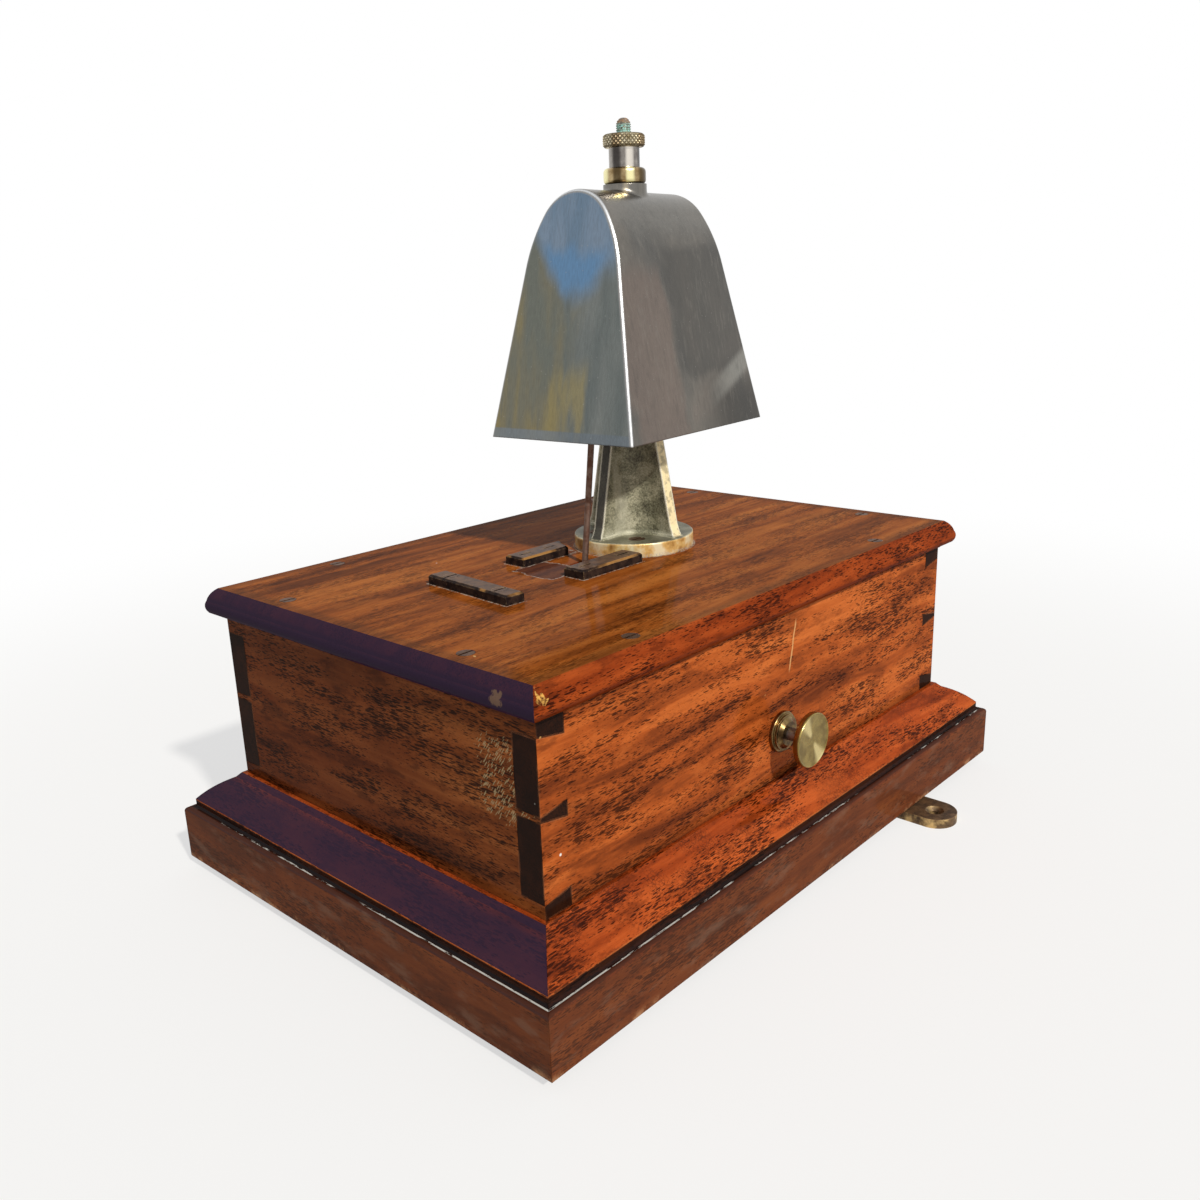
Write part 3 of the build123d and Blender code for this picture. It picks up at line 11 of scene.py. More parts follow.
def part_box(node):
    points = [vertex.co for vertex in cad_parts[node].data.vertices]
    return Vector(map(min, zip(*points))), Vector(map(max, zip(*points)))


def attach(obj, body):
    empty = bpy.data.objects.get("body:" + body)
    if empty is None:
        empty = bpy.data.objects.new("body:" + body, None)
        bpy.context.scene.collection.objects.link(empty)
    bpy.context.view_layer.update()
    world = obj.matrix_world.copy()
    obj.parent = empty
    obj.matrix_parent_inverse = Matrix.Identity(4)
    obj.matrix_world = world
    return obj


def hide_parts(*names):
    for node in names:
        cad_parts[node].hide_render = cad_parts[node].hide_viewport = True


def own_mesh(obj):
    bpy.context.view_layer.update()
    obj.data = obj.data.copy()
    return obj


bl_info = {
    "name": "Signal box block bell",
    "version": (1, 0, 0),
    "blender": (4, 5, 0),
    "location": "View3D > Sidebar > Block bell",
    "description": "Finishes, turned fittings and stage of a signal box block bell",
    "category": "Add Mesh",
}

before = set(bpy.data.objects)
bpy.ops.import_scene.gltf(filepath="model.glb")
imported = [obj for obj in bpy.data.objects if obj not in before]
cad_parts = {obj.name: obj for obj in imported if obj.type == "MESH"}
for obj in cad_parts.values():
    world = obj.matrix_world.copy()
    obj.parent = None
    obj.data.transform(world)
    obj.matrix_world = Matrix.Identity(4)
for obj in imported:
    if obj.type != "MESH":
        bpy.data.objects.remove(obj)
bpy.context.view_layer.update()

MM = 0.001
LID_LOW, LID_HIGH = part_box("lid")
CASE_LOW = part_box("case_front")[0]
NUT_LOW, NUT_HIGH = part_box("knurled_nut")
POST_LOW, POST_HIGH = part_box("bell_post")
BELL_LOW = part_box("bell")[0]
PILLAR_LOW, PILLAR_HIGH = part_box("bell_pillar")
KNOB_LOW, KNOB_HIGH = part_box("plunger_knob")
LID_TOP = LID_HIGH.z
RAIL_OUT = Vector((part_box("plinth_right")[1].x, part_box("plinth_back")[1].y, 0))

ALONG_X = (1, 0, 0)
ALONG_Y = (0, 1, 0)
WEDGE_TURN = 32.0
SIDE_BAR_HALF = Vector((5 * MM, 27.7 * MM, 0))
PLINTH_CORNER = (-0.176, -0.125)
QUIRK_DROP = 12.8 * MM
QUIRK_HIGH = 4.0 * MM


def centre_of(node):
    low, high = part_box(node)
    return (low + high) / 2


PILLAR_CENTRE = centre_of("bell_pillar")


# Shader values


class Value:
    """A shader value: arithmetic on it adds Math nodes to its tree."""

    def __init__(self, nodes, socket):
        self.nodes = nodes
        self.socket = socket

    def maths(self, operation, *others):
        inputs = dict(enumerate((self, *others)))
        return self.nodes.add("ShaderNodeMath", {"operation": operation}, inputs)

    def __add__(self, other):
        return self.maths("ADD", other)

    __radd__ = __add__

    def __sub__(self, other):
        return self.maths("SUBTRACT", other)

    def __neg__(self):
        return self.maths("MULTIPLY", -1)

    def __rsub__(self, other):
        return -self + other

    def __mul__(self, other):
        return self.maths("MULTIPLY", other)

    __rmul__ = __mul__

    def __truediv__(self, other):
        return self.maths("DIVIDE", other)

    def size(self):
        return self.maths("ABSOLUTE")

    def over(self, other):
        return self.maths("MAXIMUM", other)

    def under(self, other):
        return self.maths("MINIMUM", other)

    def rise(self, start, end):
        """0 before start and 1 after end, smooth between them; end may be the smaller."""
        low, high, first, last = (start, end, 0, 1) if start < end else (end, start, 1, 0)
        return self.nodes.add(
            "ShaderNodeMapRange",
            {"interpolation_type": "SMOOTHSTEP"},
            {"Value": self, "From Min": low, "From Max": high, "To Min": first, "To Max": last},
        )

    def band(self, low, high, soft):
        """1 between low and high, falling to 0 over soft on each side."""
        return self.rise(low - soft, low) * self.rise(high + soft, high)

    def waves(self, length):
        """A sine wave of this length along the value, from 0 to 1."""
        return (self * (2 * math.pi / length)).maths("SINE") * 0.5 + 0.5


class Nodes:
    """The nodes of a material or a world, with a method that adds any node to them."""

    def __init__(self, owner, surface, output):
        owner.use_nodes = True
        self.tree = owner.node_tree
        self.tree.nodes.clear()
        self.shader = self.tree.nodes.new(surface)
        self.output = self.tree.nodes.new(output)
        self.tree.links.new(self.shader.outputs[0], self.output.inputs["Surface"])

    def add(self, kind, settings=None, inputs=None, output=0):
        """Adds a node, sets it up, fills its sockets with values or links, returns an output."""
        node = self.tree.nodes.new(kind)
        for key, value in (settings or {}).items():
            setattr(node, key, value)
        for key, value in (inputs or {}).items():
            self.feed(node.inputs[key], value)
        return Value(self, node.outputs[output])

    def feed(self, socket, value):
        if isinstance(value, Value):
            self.tree.links.new(value.socket, socket)
        elif socket.type == "RGBA" and len(value) == 3:
            socket.default_value = (*value, 1)
        else:
            socket.default_value = value


class Finish(Nodes):
    """A material in the making."""

    def __init__(self, name, **uniform):
        self.material = bpy.data.materials.new(name)
        super().__init__(self.material, "ShaderNodeBsdfPrincipled", "ShaderNodeOutputMaterial")
        self.here = self.add("ShaderNodeTexCoord", output="Object")
        for socket, value in uniform.items():
            self.shader.inputs[socket.replace("_", " ")].default_value = value

    def skin(self, colour, rough=None, bump=None, **others):
        """Feeds the shader with what changes over the surface, and returns the finish."""
        channels = {"Base Color": colour, "Roughness": rough, "Normal": bump, **others}
        for socket, value in channels.items():
            if value is not None:
                self.feed(self.shader.inputs[socket.replace("_", " ")], value)
        return self

    def base(self):
        """What feeds the shader's base colour so far."""
        return Value(self, self.shader.inputs["Base Color"].links[0].from_socket)

    def facing(self):
        return self.add("ShaderNodeTexCoord", output="Normal")

    def split(self, vector):
        node = self.tree.nodes.new("ShaderNodeSeparateXYZ")
        self.feed(node.inputs[0], vector)
        return [Value(self, out) for out in node.outputs]

    def moved(self, vector, centre=(0, 0, 0), scale=(1, 1, 1), turn=(0, 0, 0)):
        """The vector about a centre, turned and then scaled."""
        about = self.vector("SUBTRACT", vector, centre)
        if any(turn):
            how = {"rotation_type": "EULER_XYZ"}
            about = self.add("ShaderNodeVectorRotate", how, {"Vector": about, "Rotation": turn})
        return self.vector("MULTIPLY", about, scale)

    def vector(self, operation, first, second, output=0):
        inputs = {0: first, 1: second}
        return self.add("ShaderNodeVectorMath", {"operation": operation}, inputs, output)

    def length(self, vector):
        return self.vector("LENGTH", vector, (0, 0, 0), "Value")

    def distance(self, centre):
        return self.vector("DISTANCE", self.here, centre, "Value")

    def texture(self, kind, settings, at, scale, output=0, **shape):
        """A texture at a vector, or else here; a scale of three numbers draws it out."""
        vector = at or self.here
        if isinstance(scale, tuple):
            vector, scale = self.moved(vector, scale=scale), 1.0
        return self.add(kind, settings, {"Vector": vector, "Scale": scale, **shape}, output)

    def noise(self, scale, detail=3.0, rough=0.5, bend=0.0, at=None):
        shape = {"Detail": detail, "Roughness": rough, "Distortion": bend}
        return self.texture("ShaderNodeTexNoise", None, at, scale, **shape)

    def cells(self, scale, feature="F1", at=None):
        how = {"feature": feature}
        return self.texture("ShaderNodeTexVoronoi", how, at, scale, "Distance")

    def tones(self, value, stops):
        """A ramp of tones, each at its own value."""
        tone = self.add("ShaderNodeValToRGB", None, {"Fac": value})
        elements = tone.socket.node.color_ramp.elements
        while len(elements) < len(stops):
            elements.new(0.5)
        for element, (position, colour) in zip(elements, stops):
            element.position = position
            element.color = (*colour, 1)
        return tone

    def mix(self, share, first, second, blend="MIX"):
        how = {"data_type": "RGBA", "blend_type": blend}
        return self.add("ShaderNodeMix", how, {0: share, 6: first, 7: second}, 2)

    def coats(self, base, *coats):
        """Lays coats over a base in turn: each is how far it covers, and its tone."""
        for cover, tone in coats:
            base = self.mix(cover, base, tone)
        return base

    def bump(self, height, depth, strength=1.0, soft=0):
        """A bump this deep where the height is 1, over edges rounded by the soft radius."""
        inputs = {"Height": height, "Distance": depth, "Strength": strength}
        if soft:
            inputs["Normal"] = self.soft_edges(soft)
        return self.add("ShaderNodeBump", None, inputs)

    def soft_edges(self, radius):
        return self.add("ShaderNodeBevel", {"samples": 4}, {"Radius": radius})

    def edges(self, radius, start, end):
        """1 along sharp edges: how far a rounded normal leaves the true one."""
        rounded = self.soft_edges(radius)
        true = self.add("ShaderNodeNewGeometry", output="Normal")
        same = self.vector("DOT_PRODUCT", rounded, true, "Value")
        return (1 - same).rise(start, end)


# Finishes


def toned(tone, times):
    """A tone made this many times as bright, up to white."""
    return tuple(min(1, channel * times) for channel in tone)


def mahogany(name, along, look, gloss=0.12, calm=0.0):
    """French polished mahogany: ribbon figure and short dark pores that run along one axis."""
    f = Finish(name, Coat_Roughness=0.1, Coat_IOR=1.5, Specular_IOR_Level=0.0)
    x, y, z = f.split(f.here)
    nx, ny, nz = f.split(f.facing())
    lead = 0 if along == ALONG_X else 1

    def grained(across, lengthwise):
        scale = [across] * 3
        scale[lead] = lengthwise
        return tuple(scale)

    wave = f.noise(9.0, 2.0)
    waved = f.vector("ADD", f.moved(f.here, scale=grained(110, 9)), wave)
    figure = f.noise(1.0, 6.0, 0.62, 0.8, at=waved)
    ribbon = f.noise(grained(26, 2.4), 3.0, 0.5, 1.2)
    crowd = f.noise(grained(70, 16), 5.0, 0.65, 0.5).rise(0.3, 0.64)
    mottle = f.noise(grained(130, 40), 5.0, 0.7)
    bold = 1 - nz.rise(0.9, 0.98) * calm
    long_pores = f.cells(grained(1250, 190))
    short_pores = f.cells(grained(2100, 420))
    dashes = (long_pores - crowd * 0.46).rise(0.04, -0.03)
    ticks = (short_pores - crowd * 0.5).rise(0.05, -0.03)
    fine = f.noise(grained(2600, 260), 2.0)
    dark, light = look.dark, look.light
    wood = f.tones(
        figure * 0.62 + ribbon * 0.38, [(0.36, dark), (0.5, look.middle), (0.62, light)]
    )
    pore_tone = toned(dark, 0.2)
    end_grain = (nx if lead == 0 else ny).size().rise(0.86, 0.97)
    end_tone = f.mix(fine, (0.005, 0.003, 0.002), (0.016, 0.007, 0.005))
    worn = f.edges(1.2 * MM, 0.015, 0.1)
    patchy = f.noise(60.0, 4.0, 0.6)
    grime = f.noise(24.0, 5.0, 0.65)
    wood = f.coats(
        wood,
        (fine.rise(0.4, 0.78) * 0.22, dark),
        (mottle.rise(0.5, 0.64) * bold * 0.6, dark),
        (mottle.rise(0.46, 0.34) * 0.3, light),
        (dashes * bold * 0.85, pore_tone),
        (ticks * bold * 0.55, pore_tone),
        (end_grain * 0.97, end_tone),
        (worn * patchy.rise(0.42, 0.62) * 0.65, look.worn),
        (grime.rise(0.5, 0.8) * 0.35, toned(dark, 0.35)),
    )
    f.skin(
        wood,
        0.4 + grime * 0.2,
        f.bump(1 - dashes, 0.12 * MM, 0.7, 0.7 * MM),
        Coat_Weight=gloss * (1 - worn * 0.7),
    )
    return f, wood, (x, y, z), (nx, ny, nz)


def aged_brass(name, tone, dull, metallic=1.0):
    """Brass with brown tarnish in patches, fine scratches and bright worn edges."""
    f = Finish(name, Metallic=metallic)
    tarnish = f.noise(180.0, 5.0, 0.65, 0.4)
    scratch = f.noise(1.0, 2.0, at=f.moved(f.here, scale=(300, 2200, 2200), turn=(0.3, 0.2, 0.6)))
    worn = f.edges(0.8 * MM, 0.02, 0.14)
    metal = f.mix(tarnish.rise(0.36, 0.66), tone, dull)
    metal = f.coats(
        metal,
        (scratch.rise(0.6, 0.72) * 0.4, toned(tone, 1.5)),
        (worn * 0.8, toned(tone, 1.7)),
    )
    return f.skin(
        metal,
        0.34 + tarnish.rise(0.3, 0.7) * 0.22 - worn * 0.12,
        f.bump(tarnish, 0.05 * MM, 0.5, 0.35 * MM),
    )


def lug_brass():
    """The lugs: brown on top, with bright gold sides."""
    f = aged_brass("lug_brass", (0.175, 0.105, 0.05), (0.05, 0.03, 0.018), 0.6)
    nz = f.split(f.facing())[2]
    patch = f.noise(120.0, 4.0, 0.6)
    side = nz.rise(0.85, 0.55) * patch.rise(0.42, 0.66)
    return f.skin(f.mix(side * 0.85, f.base(), (0.8, 0.56, 0.24)))


def plain_steel(name, tone, rust, rough=0.4):
    """Dull steel with rust brown patches."""
    f = Finish(name, Metallic=1.0)
    patches = f.noise(260.0, 5.0, 0.7)
    streak = f.noise((1500, 1500, 120))
    metal = f.mix(patches.rise(0.42, 0.62), tone, rust)
    metal = f.mix(streak * 0.4, metal, toned(tone, 0.5))
    return f.skin(metal, rough + patches * 0.25, f.bump(patches, 0.08 * MM, 0.6, 0.25 * MM))


def wood_marks(f, wood):
    """Sparse specks of white paint and pale nicks, common to every board."""
    specks = f.cells(40.0)
    which = f.noise(22.0, 2.0)
    wood = f.mix(specks.rise(0.03, 0.018) * which.rise(0.57, 0.61), wood, (0.7, 0.68, 0.62))
    nicks = f.cells(60.0, at=f.moved(f.here, scale=(1.0, 0.5, 1.6), turn=(0.2, 0.4, 0.5)))
    return f.mix(nicks.rise(0.045, 0.025) * which.rise(0.42, 0.38), wood, (0.62, 0.36, 0.12))


def lid_wood(look):
    """The lid: browner on top, a painted blue sky reflection on the left bevel, residue round the
    metalwork, painted shade between the slot bars.
    """
    f, wood, (x, y, z), (nx, ny, nz) = mahogany("lid_wood", ALONG_X, look, 0.09, 0.4)
    flat = nz.rise(0.9, 0.98)
    wood = f.mix(1.0, wood, f.mix(flat, look.bevel_tint, look.top_tint), "MULTIPLY")
    blotch = f.noise(45.0, 4.0, 0.6)
    inside = (LID_LOW.y - y).over(x.size() - LID_HIGH.x).over(y - LID_HIGH.y)
    arris = (inside + blotch * 6 * MM).rise(-10 * MM, -5 * MM) * flat
    under = (z - LID_LOW.z).band(1.5 * MM, 4.5 * MM, 1.2 * MM) * (-ny).rise(0.5, 0.9)
    # Painted reflection: left-facing faces are tinted dark blue, standing in for a blue sky mirrored in
    # the polish.
    sky_reflection = (-nx).rise(0.25, 0.5)
    wood = f.coats(
        wood,
        (arris * 0.45, (0.085, 0.03, 0.01)),
        (under * 0.5, (0.06, 0.01, 0.004)),
        (sky_reflection * 0.94, look.sky_reflection),
    )
    wood = wood_marks(f, wood)
    corner = f.distance((LID_LOW.x + 5 * MM, LID_LOW.y + 3 * MM, LID_TOP - 5 * MM))
    ragged = corner + f.noise(520.0, 4.0) * 6 * MM
    chip = ragged.rise(5.9 * MM, 5.4 * MM)
    chip_tone = f.tones(f.noise(900.0), [(0.35, (0.1, 0.035, 0.01)), (0.55, (0.62, 0.34, 0.08))])
    side_chip = f.distance((LID_LOW.x + 1 * MM, LID_LOW.y + 19 * MM, LID_TOP - 7 * MM))
    side_chip = (side_chip + f.noise(500.0, 4.0) * 6 * MM).rise(6.4 * MM, 5.4 * MM)
    wood = f.coats(
        wood,
        (chip, chip_tone),
        (side_chip * 0.6, (0.2, 0.12, 0.07)),
    )
    ring = f.distance((PILLAR_CENTRE.x, PILLAR_CENTRE.y, LID_TOP))
    rough = f.noise(700.0, 4.0, 0.7)
    foot = (PILLAR_HIGH.x - PILLAR_LOW.x) / 2
    halo = (ring + rough * 1.6 * MM).band(foot, foot + 1.6 * MM, 0.5 * MM)
    residue = halo * rough.rise(0.4, 0.55)
    for bar in ("slot_bar_front", "slot_bar_back"):
        residue = residue.over(foot_line(f, rough, *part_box(bar), 0))
    middle = centre_of("side_bar")
    box = middle - SIDE_BAR_HALF, middle + SIDE_BAR_HALF
    residue = residue.over(foot_line(f, rough, *box, look.side_bar_turn))
    # Painted shade: the lid top between the slot bars is darkened to stand for the shaded slot, with a
    # broken pale rim round it.
    front_low, front_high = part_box("slot_bar_front")
    back_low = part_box("slot_bar_back")[0]
    slot_shade = (front_low.x + 3 * MM, (front_high.y + back_low.y) / 2, 0)
    slot_x, slot_y, _ = f.split(f.moved(f.here, centre=slot_shade))
    edge = f.noise(130.0, 3.0) * 7 * MM - 3.5 * MM
    out = (slot_x.size() - 11 * MM).over(slot_y.size() - (back_low.y - front_high.y) * 0.5) + edge
    slot_rim = out.band(-0.1 * MM, 0.3 * MM, 0.3 * MM) * rough.rise(0.4, 0.55)
    wood = f.coats(
        wood,
        (residue * flat * 0.75, (0.42, 0.38, 0.32)),
        (out.rise(0.5 * MM, -0.5 * MM) * flat * 0.7, (0.065, 0.03, 0.028)),
        (slot_rim * flat * 0.7, (0.5, 0.44, 0.38)),
    )
    return f.skin(wood)


def foot_line(f, rough, low, high, turn):
    """A broken pale line round the foot of a bar: the distance from a turned rectangle."""
    middle = (low + high) / 2
    x, y, _ = f.split(f.moved(f.here, centre=(middle.x, middle.y, 0), turn=(0, 0, -turn)))
    out = (x.size() - (high.x - low.x) / 2).over(y.size() - (high.y - low.y) / 2)
    line = (out + rough * 1.2 * MM).band(0.1 * MM, 1.5 * MM, 0.4 * MM)
    return line * rough.rise(0.44, 0.58)


def case_wood(look, name, along):
    """The case boards, with scratches on the front and near the front left corner."""
    f, wood, (x, y, z), (nx, ny, _) = mahogany(name, along, look)
    wood = wood_marks(f, wood)
    if along == ALONG_X:
        lean = x - (z - CASE_LOW.z) * 0.2
        lean = lean + f.noise(160.0) * 1.5 * MM
        line = lean.band(-2.1 * MM, -1.4 * MM, 0.4 * MM) * z.band(0.101, 0.119, 4 * MM)
        foot = (z - CASE_LOW.z).rise(7 * MM, 0)
        wood = f.coats(
            wood,
            (line * 0.8 * (-ny).rise(0.5, 0.9), (0.62, 0.33, 0.13)),
            (foot * 0.5, (0.06, 0.02, 0.01)),
        )
    else:
        # Painted shade: left-facing faces are darkened with a blue cast, as shade under sky light, and
        # darker still towards the back.
        left = (-nx).rise(0.5, 0.9)
        far = y.rise(-0.075, -0.01)
        wood = f.mix(left, wood, (0.5, 0.6, 0.75), "MULTIPLY")
        wood = f.mix(left * far, wood, (0.62, 0.54, 0.54), "MULTIPLY")
        near = y.band(-0.094, -0.074, 9 * MM) * z.band(0.086, 0.112, 9 * MM)
        leaning = f.moved(f.here, scale=(60, 1700, 250), turn=(-0.6, 0, 0))
        nicks = f.cells(1.0, at=leaning)
        scuffs = (nicks - near * 0.36).rise(0.02, -0.03) * near.rise(0.1, 0.4) * left
        wood = f.mix(scuffs * 0.7, wood, (0.36, 0.28, 0.15))
    return f.skin(wood)


def plinth_wood(look, name, along):
    """The plinth rails: crackled slope, painted shade in the quirk and on its step with a broken white
    line, a painted blue sky reflection at left.
    """
    f, wood, (x, y, z), (nx, _, nz) = mahogany(name, along, look)
    slope = nz.rise(0.2, 0.5)
    wood = f.mix(slope, wood, (0.84, 0.64, 0.6), "MULTIPLY")
    crackle = f.cells(620.0, "DISTANCE_TO_EDGE")
    crazed = f.noise(60.0, 4.0, 0.6).rise(0.46, 0.6) * slope
    # Painted reflection: the left-facing slope is tinted dark blue, standing in for a blue sky mirrored
    # in the polish.
    sky_reflection = (-nx).rise(0.25, 0.5) * slope
    groove_top = CASE_LOW.z - QUIRK_DROP
    band_top = groove_top - QUIRK_HIGH
    band = (z - band_top).rise(0.6 * MM, -0.6 * MM)
    cloudy = f.noise((40, 40, 120), 4.0, 0.6)
    # Painted shade: the quirk under the bevel's overhang is near black.
    groove = z.band(band_top - 0.1 * MM, groove_top - 0.9 * MM, 0.6 * MM)
    drawn = (130, 900, 900) if along == ALONG_X else (900, 130, 900)
    crumbs = f.noise(drawn, 4.0, 0.7)
    here = f.noise(26.0, 3.0, 0.6)
    corner = f.distance((*PLINTH_CORNER, band_top)).rise(0.22, 0.0)
    out = x.size() - RAIL_OUT.x if along == ALONG_Y else y.size() - RAIL_OUT.y
    line = (z - band_top).rise(0.5 * MM, 0.2 * MM) * out.band(-3.1 * MM, -2.6 * MM, 0.25 * MM)
    # Painted shade: the narrow step at the top of the band, under the overhang, is dark brown.
    ledge = (z - band_top).band(-0.5 * MM, 0.3 * MM, 0.3 * MM) * out.rise(-2.9 * MM, -2.5 * MM)
    white = line * (crumbs + corner * 0.1).rise(0.5, 0.58) * (here + corner * 0.25).rise(0.48, 0.56)
    low_edge = (z - 6.0 * MM).rise(3.5 * MM, -1.0 * MM) * f.noise(90.0, 5.0, 0.7).rise(0.5, 0.66)
    wood = f.coats(
        wood,
        (crackle.rise(0.1, 0.03) * crazed * 0.55, (0.05, 0.012, 0.006)),
        (sky_reflection * 0.93, look.sky_reflection),
        (band * 0.78, (0.06, 0.024, 0.014)),
        (band * cloudy.rise(0.5, 0.7) * 0.55, (0.16, 0.085, 0.055)),
        (groove * 0.94, (0.008, 0.006, 0.006)),
        (ledge * 0.8, (0.07, 0.022, 0.012)),
        (white * 0.9, (0.6, 0.6, 0.56)),
        (low_edge * 0.75, (0.46, 0.24, 0.12)),
    )
    wood = wood_marks(f, wood)
    return f.skin(wood)


def polished_bell(look):
    """Bell metal brushed upright, with painted reflections on its wrap, painted highlights on its
    rounded edges, and a painted blue sky reflection over olive and blue-grey painted reflections on its
    left end.
    """
    f = Finish("polished_bell", Metallic=1.0)
    turn = (0, 0, -look.turn)
    local = f.moved(f.here, centre=(PILLAR_CENTRE.x, PILLAR_CENTRE.y, BELL_LOW.z), turn=turn)
    u, v, w = f.split(local)
    nu = f.split(f.moved(f.facing(), turn=turn))[0]
    brush = f.noise((1600, 1600, 26), 3.0, 0.6, at=local)
    cloud = f.noise((26, 26, 14), 3.0, 0.5, 0.6, at=local)
    streak = f.noise((110, 110, 9), at=local)
    grey = f.tones(cloud, [(0.35, look.shade), (0.52, look.metal), (0.7, look.warm)])
    haze = f.noise((34, 34, 22), 4.0, 0.55, 0.8, at=local) * 0.024 - 0.012
    # Painted reflections on the wrap: a brown patch on the left, a dark band across the upper right, a
    # pale band along the top, a darker lower right and a pale slanting band on the right.
    brown = (u + haze).band(-0.046, -0.016, 6 * MM) * (w + haze).rise(0.082, 0.066)
    dark = (w + haze).band(0.03, 0.08, 7 * MM) * (u + haze).rise(-0.018, -0.004)
    top_gleam = (w + haze).rise(0.086, 0.098)
    low_right = w.rise(0.036, 0.01) * u.rise(-0.006, 0.03)
    pale = (w - u * 0.42 - 0.009).band(-2.5 * MM, 2.5 * MM, 5 * MM) * u.rise(0.006, 0.04)
    upright = f.noise((420, 420, 7), 4.0, 0.7, at=local)
    grey = f.coats(
        grey,
        (brown * 0.7, (0.2, 0.155, 0.13)),
        (dark * 0.75, toned(look.shade, 0.7)),
        (top_gleam * 0.5, (0.22, 0.21, 0.19)),
        (low_right * 0.8, toned(look.shade, 0.42)),
        (pale * 0.6, (0.36, 0.35, 0.31)),
        (upright.rise(0.52, 0.66) * 0.22, toned(look.metal, 1.45)),
        (upright.rise(0.46, 0.34) * 0.22, toned(look.shade, 0.55)),
    )
    # Painted reflections on the left end: olive tones towards the back and blue-grey towards the front,
    # a gold patch low in the middle, blue sky across the upper part with deeper blue towards its back,
    # and a dark blue-grey band along the bottom standing for a ground lip.
    left = (-nu).rise(0.9, 0.96) * (-u).rise(20 * MM, 30 * MM)
    sway = cloud * 0.036 + streak * 0.016 - 0.026
    edge = ((0.001 - v) * 0.6).over((v - 0.001) * 1.45)
    high = (w + sway - edge).rise(0.051, 0.068)
    deep = (w + sway).band(0.05, 0.08, 10 * MM) * (v + sway).rise(-0.026, -0.01)
    olive = f.tones(
        streak * 0.6 + cloud * 0.4,
        [(0.4, (0.105, 0.112, 0.085)), (0.52, (0.14, 0.126, 0.074)), (0.64, (0.22, 0.165, 0.04))],
    )
    steel = f.tones(streak, [(0.35, (0.085, 0.1, 0.092)), (0.65, (0.14, 0.15, 0.136))])
    end = f.mix((v + sway * 1.4).rise(0.002, -0.014), olive, steel)
    low_gold = v.band(-0.012, 0.006, 6 * MM) * (w + sway).rise(0.036, 0.022)
    pale_blue = f.mix(streak.rise(0.35, 0.65), (0.1, 0.165, 0.24), (0.145, 0.205, 0.28))
    lip = w.rise(5.0 * MM, 4.2 * MM)
    end = f.coats(
        end,
        (low_gold * streak.rise(0.36, 0.56) * 0.75, (0.23, 0.18, 0.055)),
        (high, f.mix(deep, pale_blue, look.blue)),
        (lip * 0.8, f.mix(cloud, (0.05, 0.07, 0.09), (0.2, 0.23, 0.25))),
    )
    metal = f.mix(left, grey, end)
    # Painted highlights: a soft pale band and a whiter core along the rounded edges away from the neck,
    # and a gold gleam near the top.
    off_neck = f.length(f.vector("MULTIPLY", local, (1, 1, 0))).rise(20 * MM, 24 * MM)
    ridge = nu.size().band(0.52, 0.74, 0.34) * off_neck
    core = nu.size().band(0.56, 0.74, 0.12) * off_neck
    blob = f.moved(local, (-15 * MM, -9 * MM, 0), (95, 330, 0), (0, 0, -0.35))
    gleam = f.length(blob).rise(1.0, 0.2) * w.rise(0.095, 0.1)
    pits = f.cells(260.0)
    metal = f.coats(
        metal,
        (ridge * 0.5, (0.5, 0.52, 0.54)),
        (core * 0.62, (0.78, 0.8, 0.82)),
        (gleam, (0.86, 0.72, 0.48)),
        (brush.rise(0.35, 0.75) * 0.22, toned(look.shade, 0.5)),
        (pits.rise(0.1, 0.05) * 0.3, (0.36, 0.35, 0.32)),
    )
    return f.skin(metal, 0.18 + brush * 0.14 + cloud * 0.1, f.bump(brush, 0.02 * MM, 0.35, 0.8 * MM))


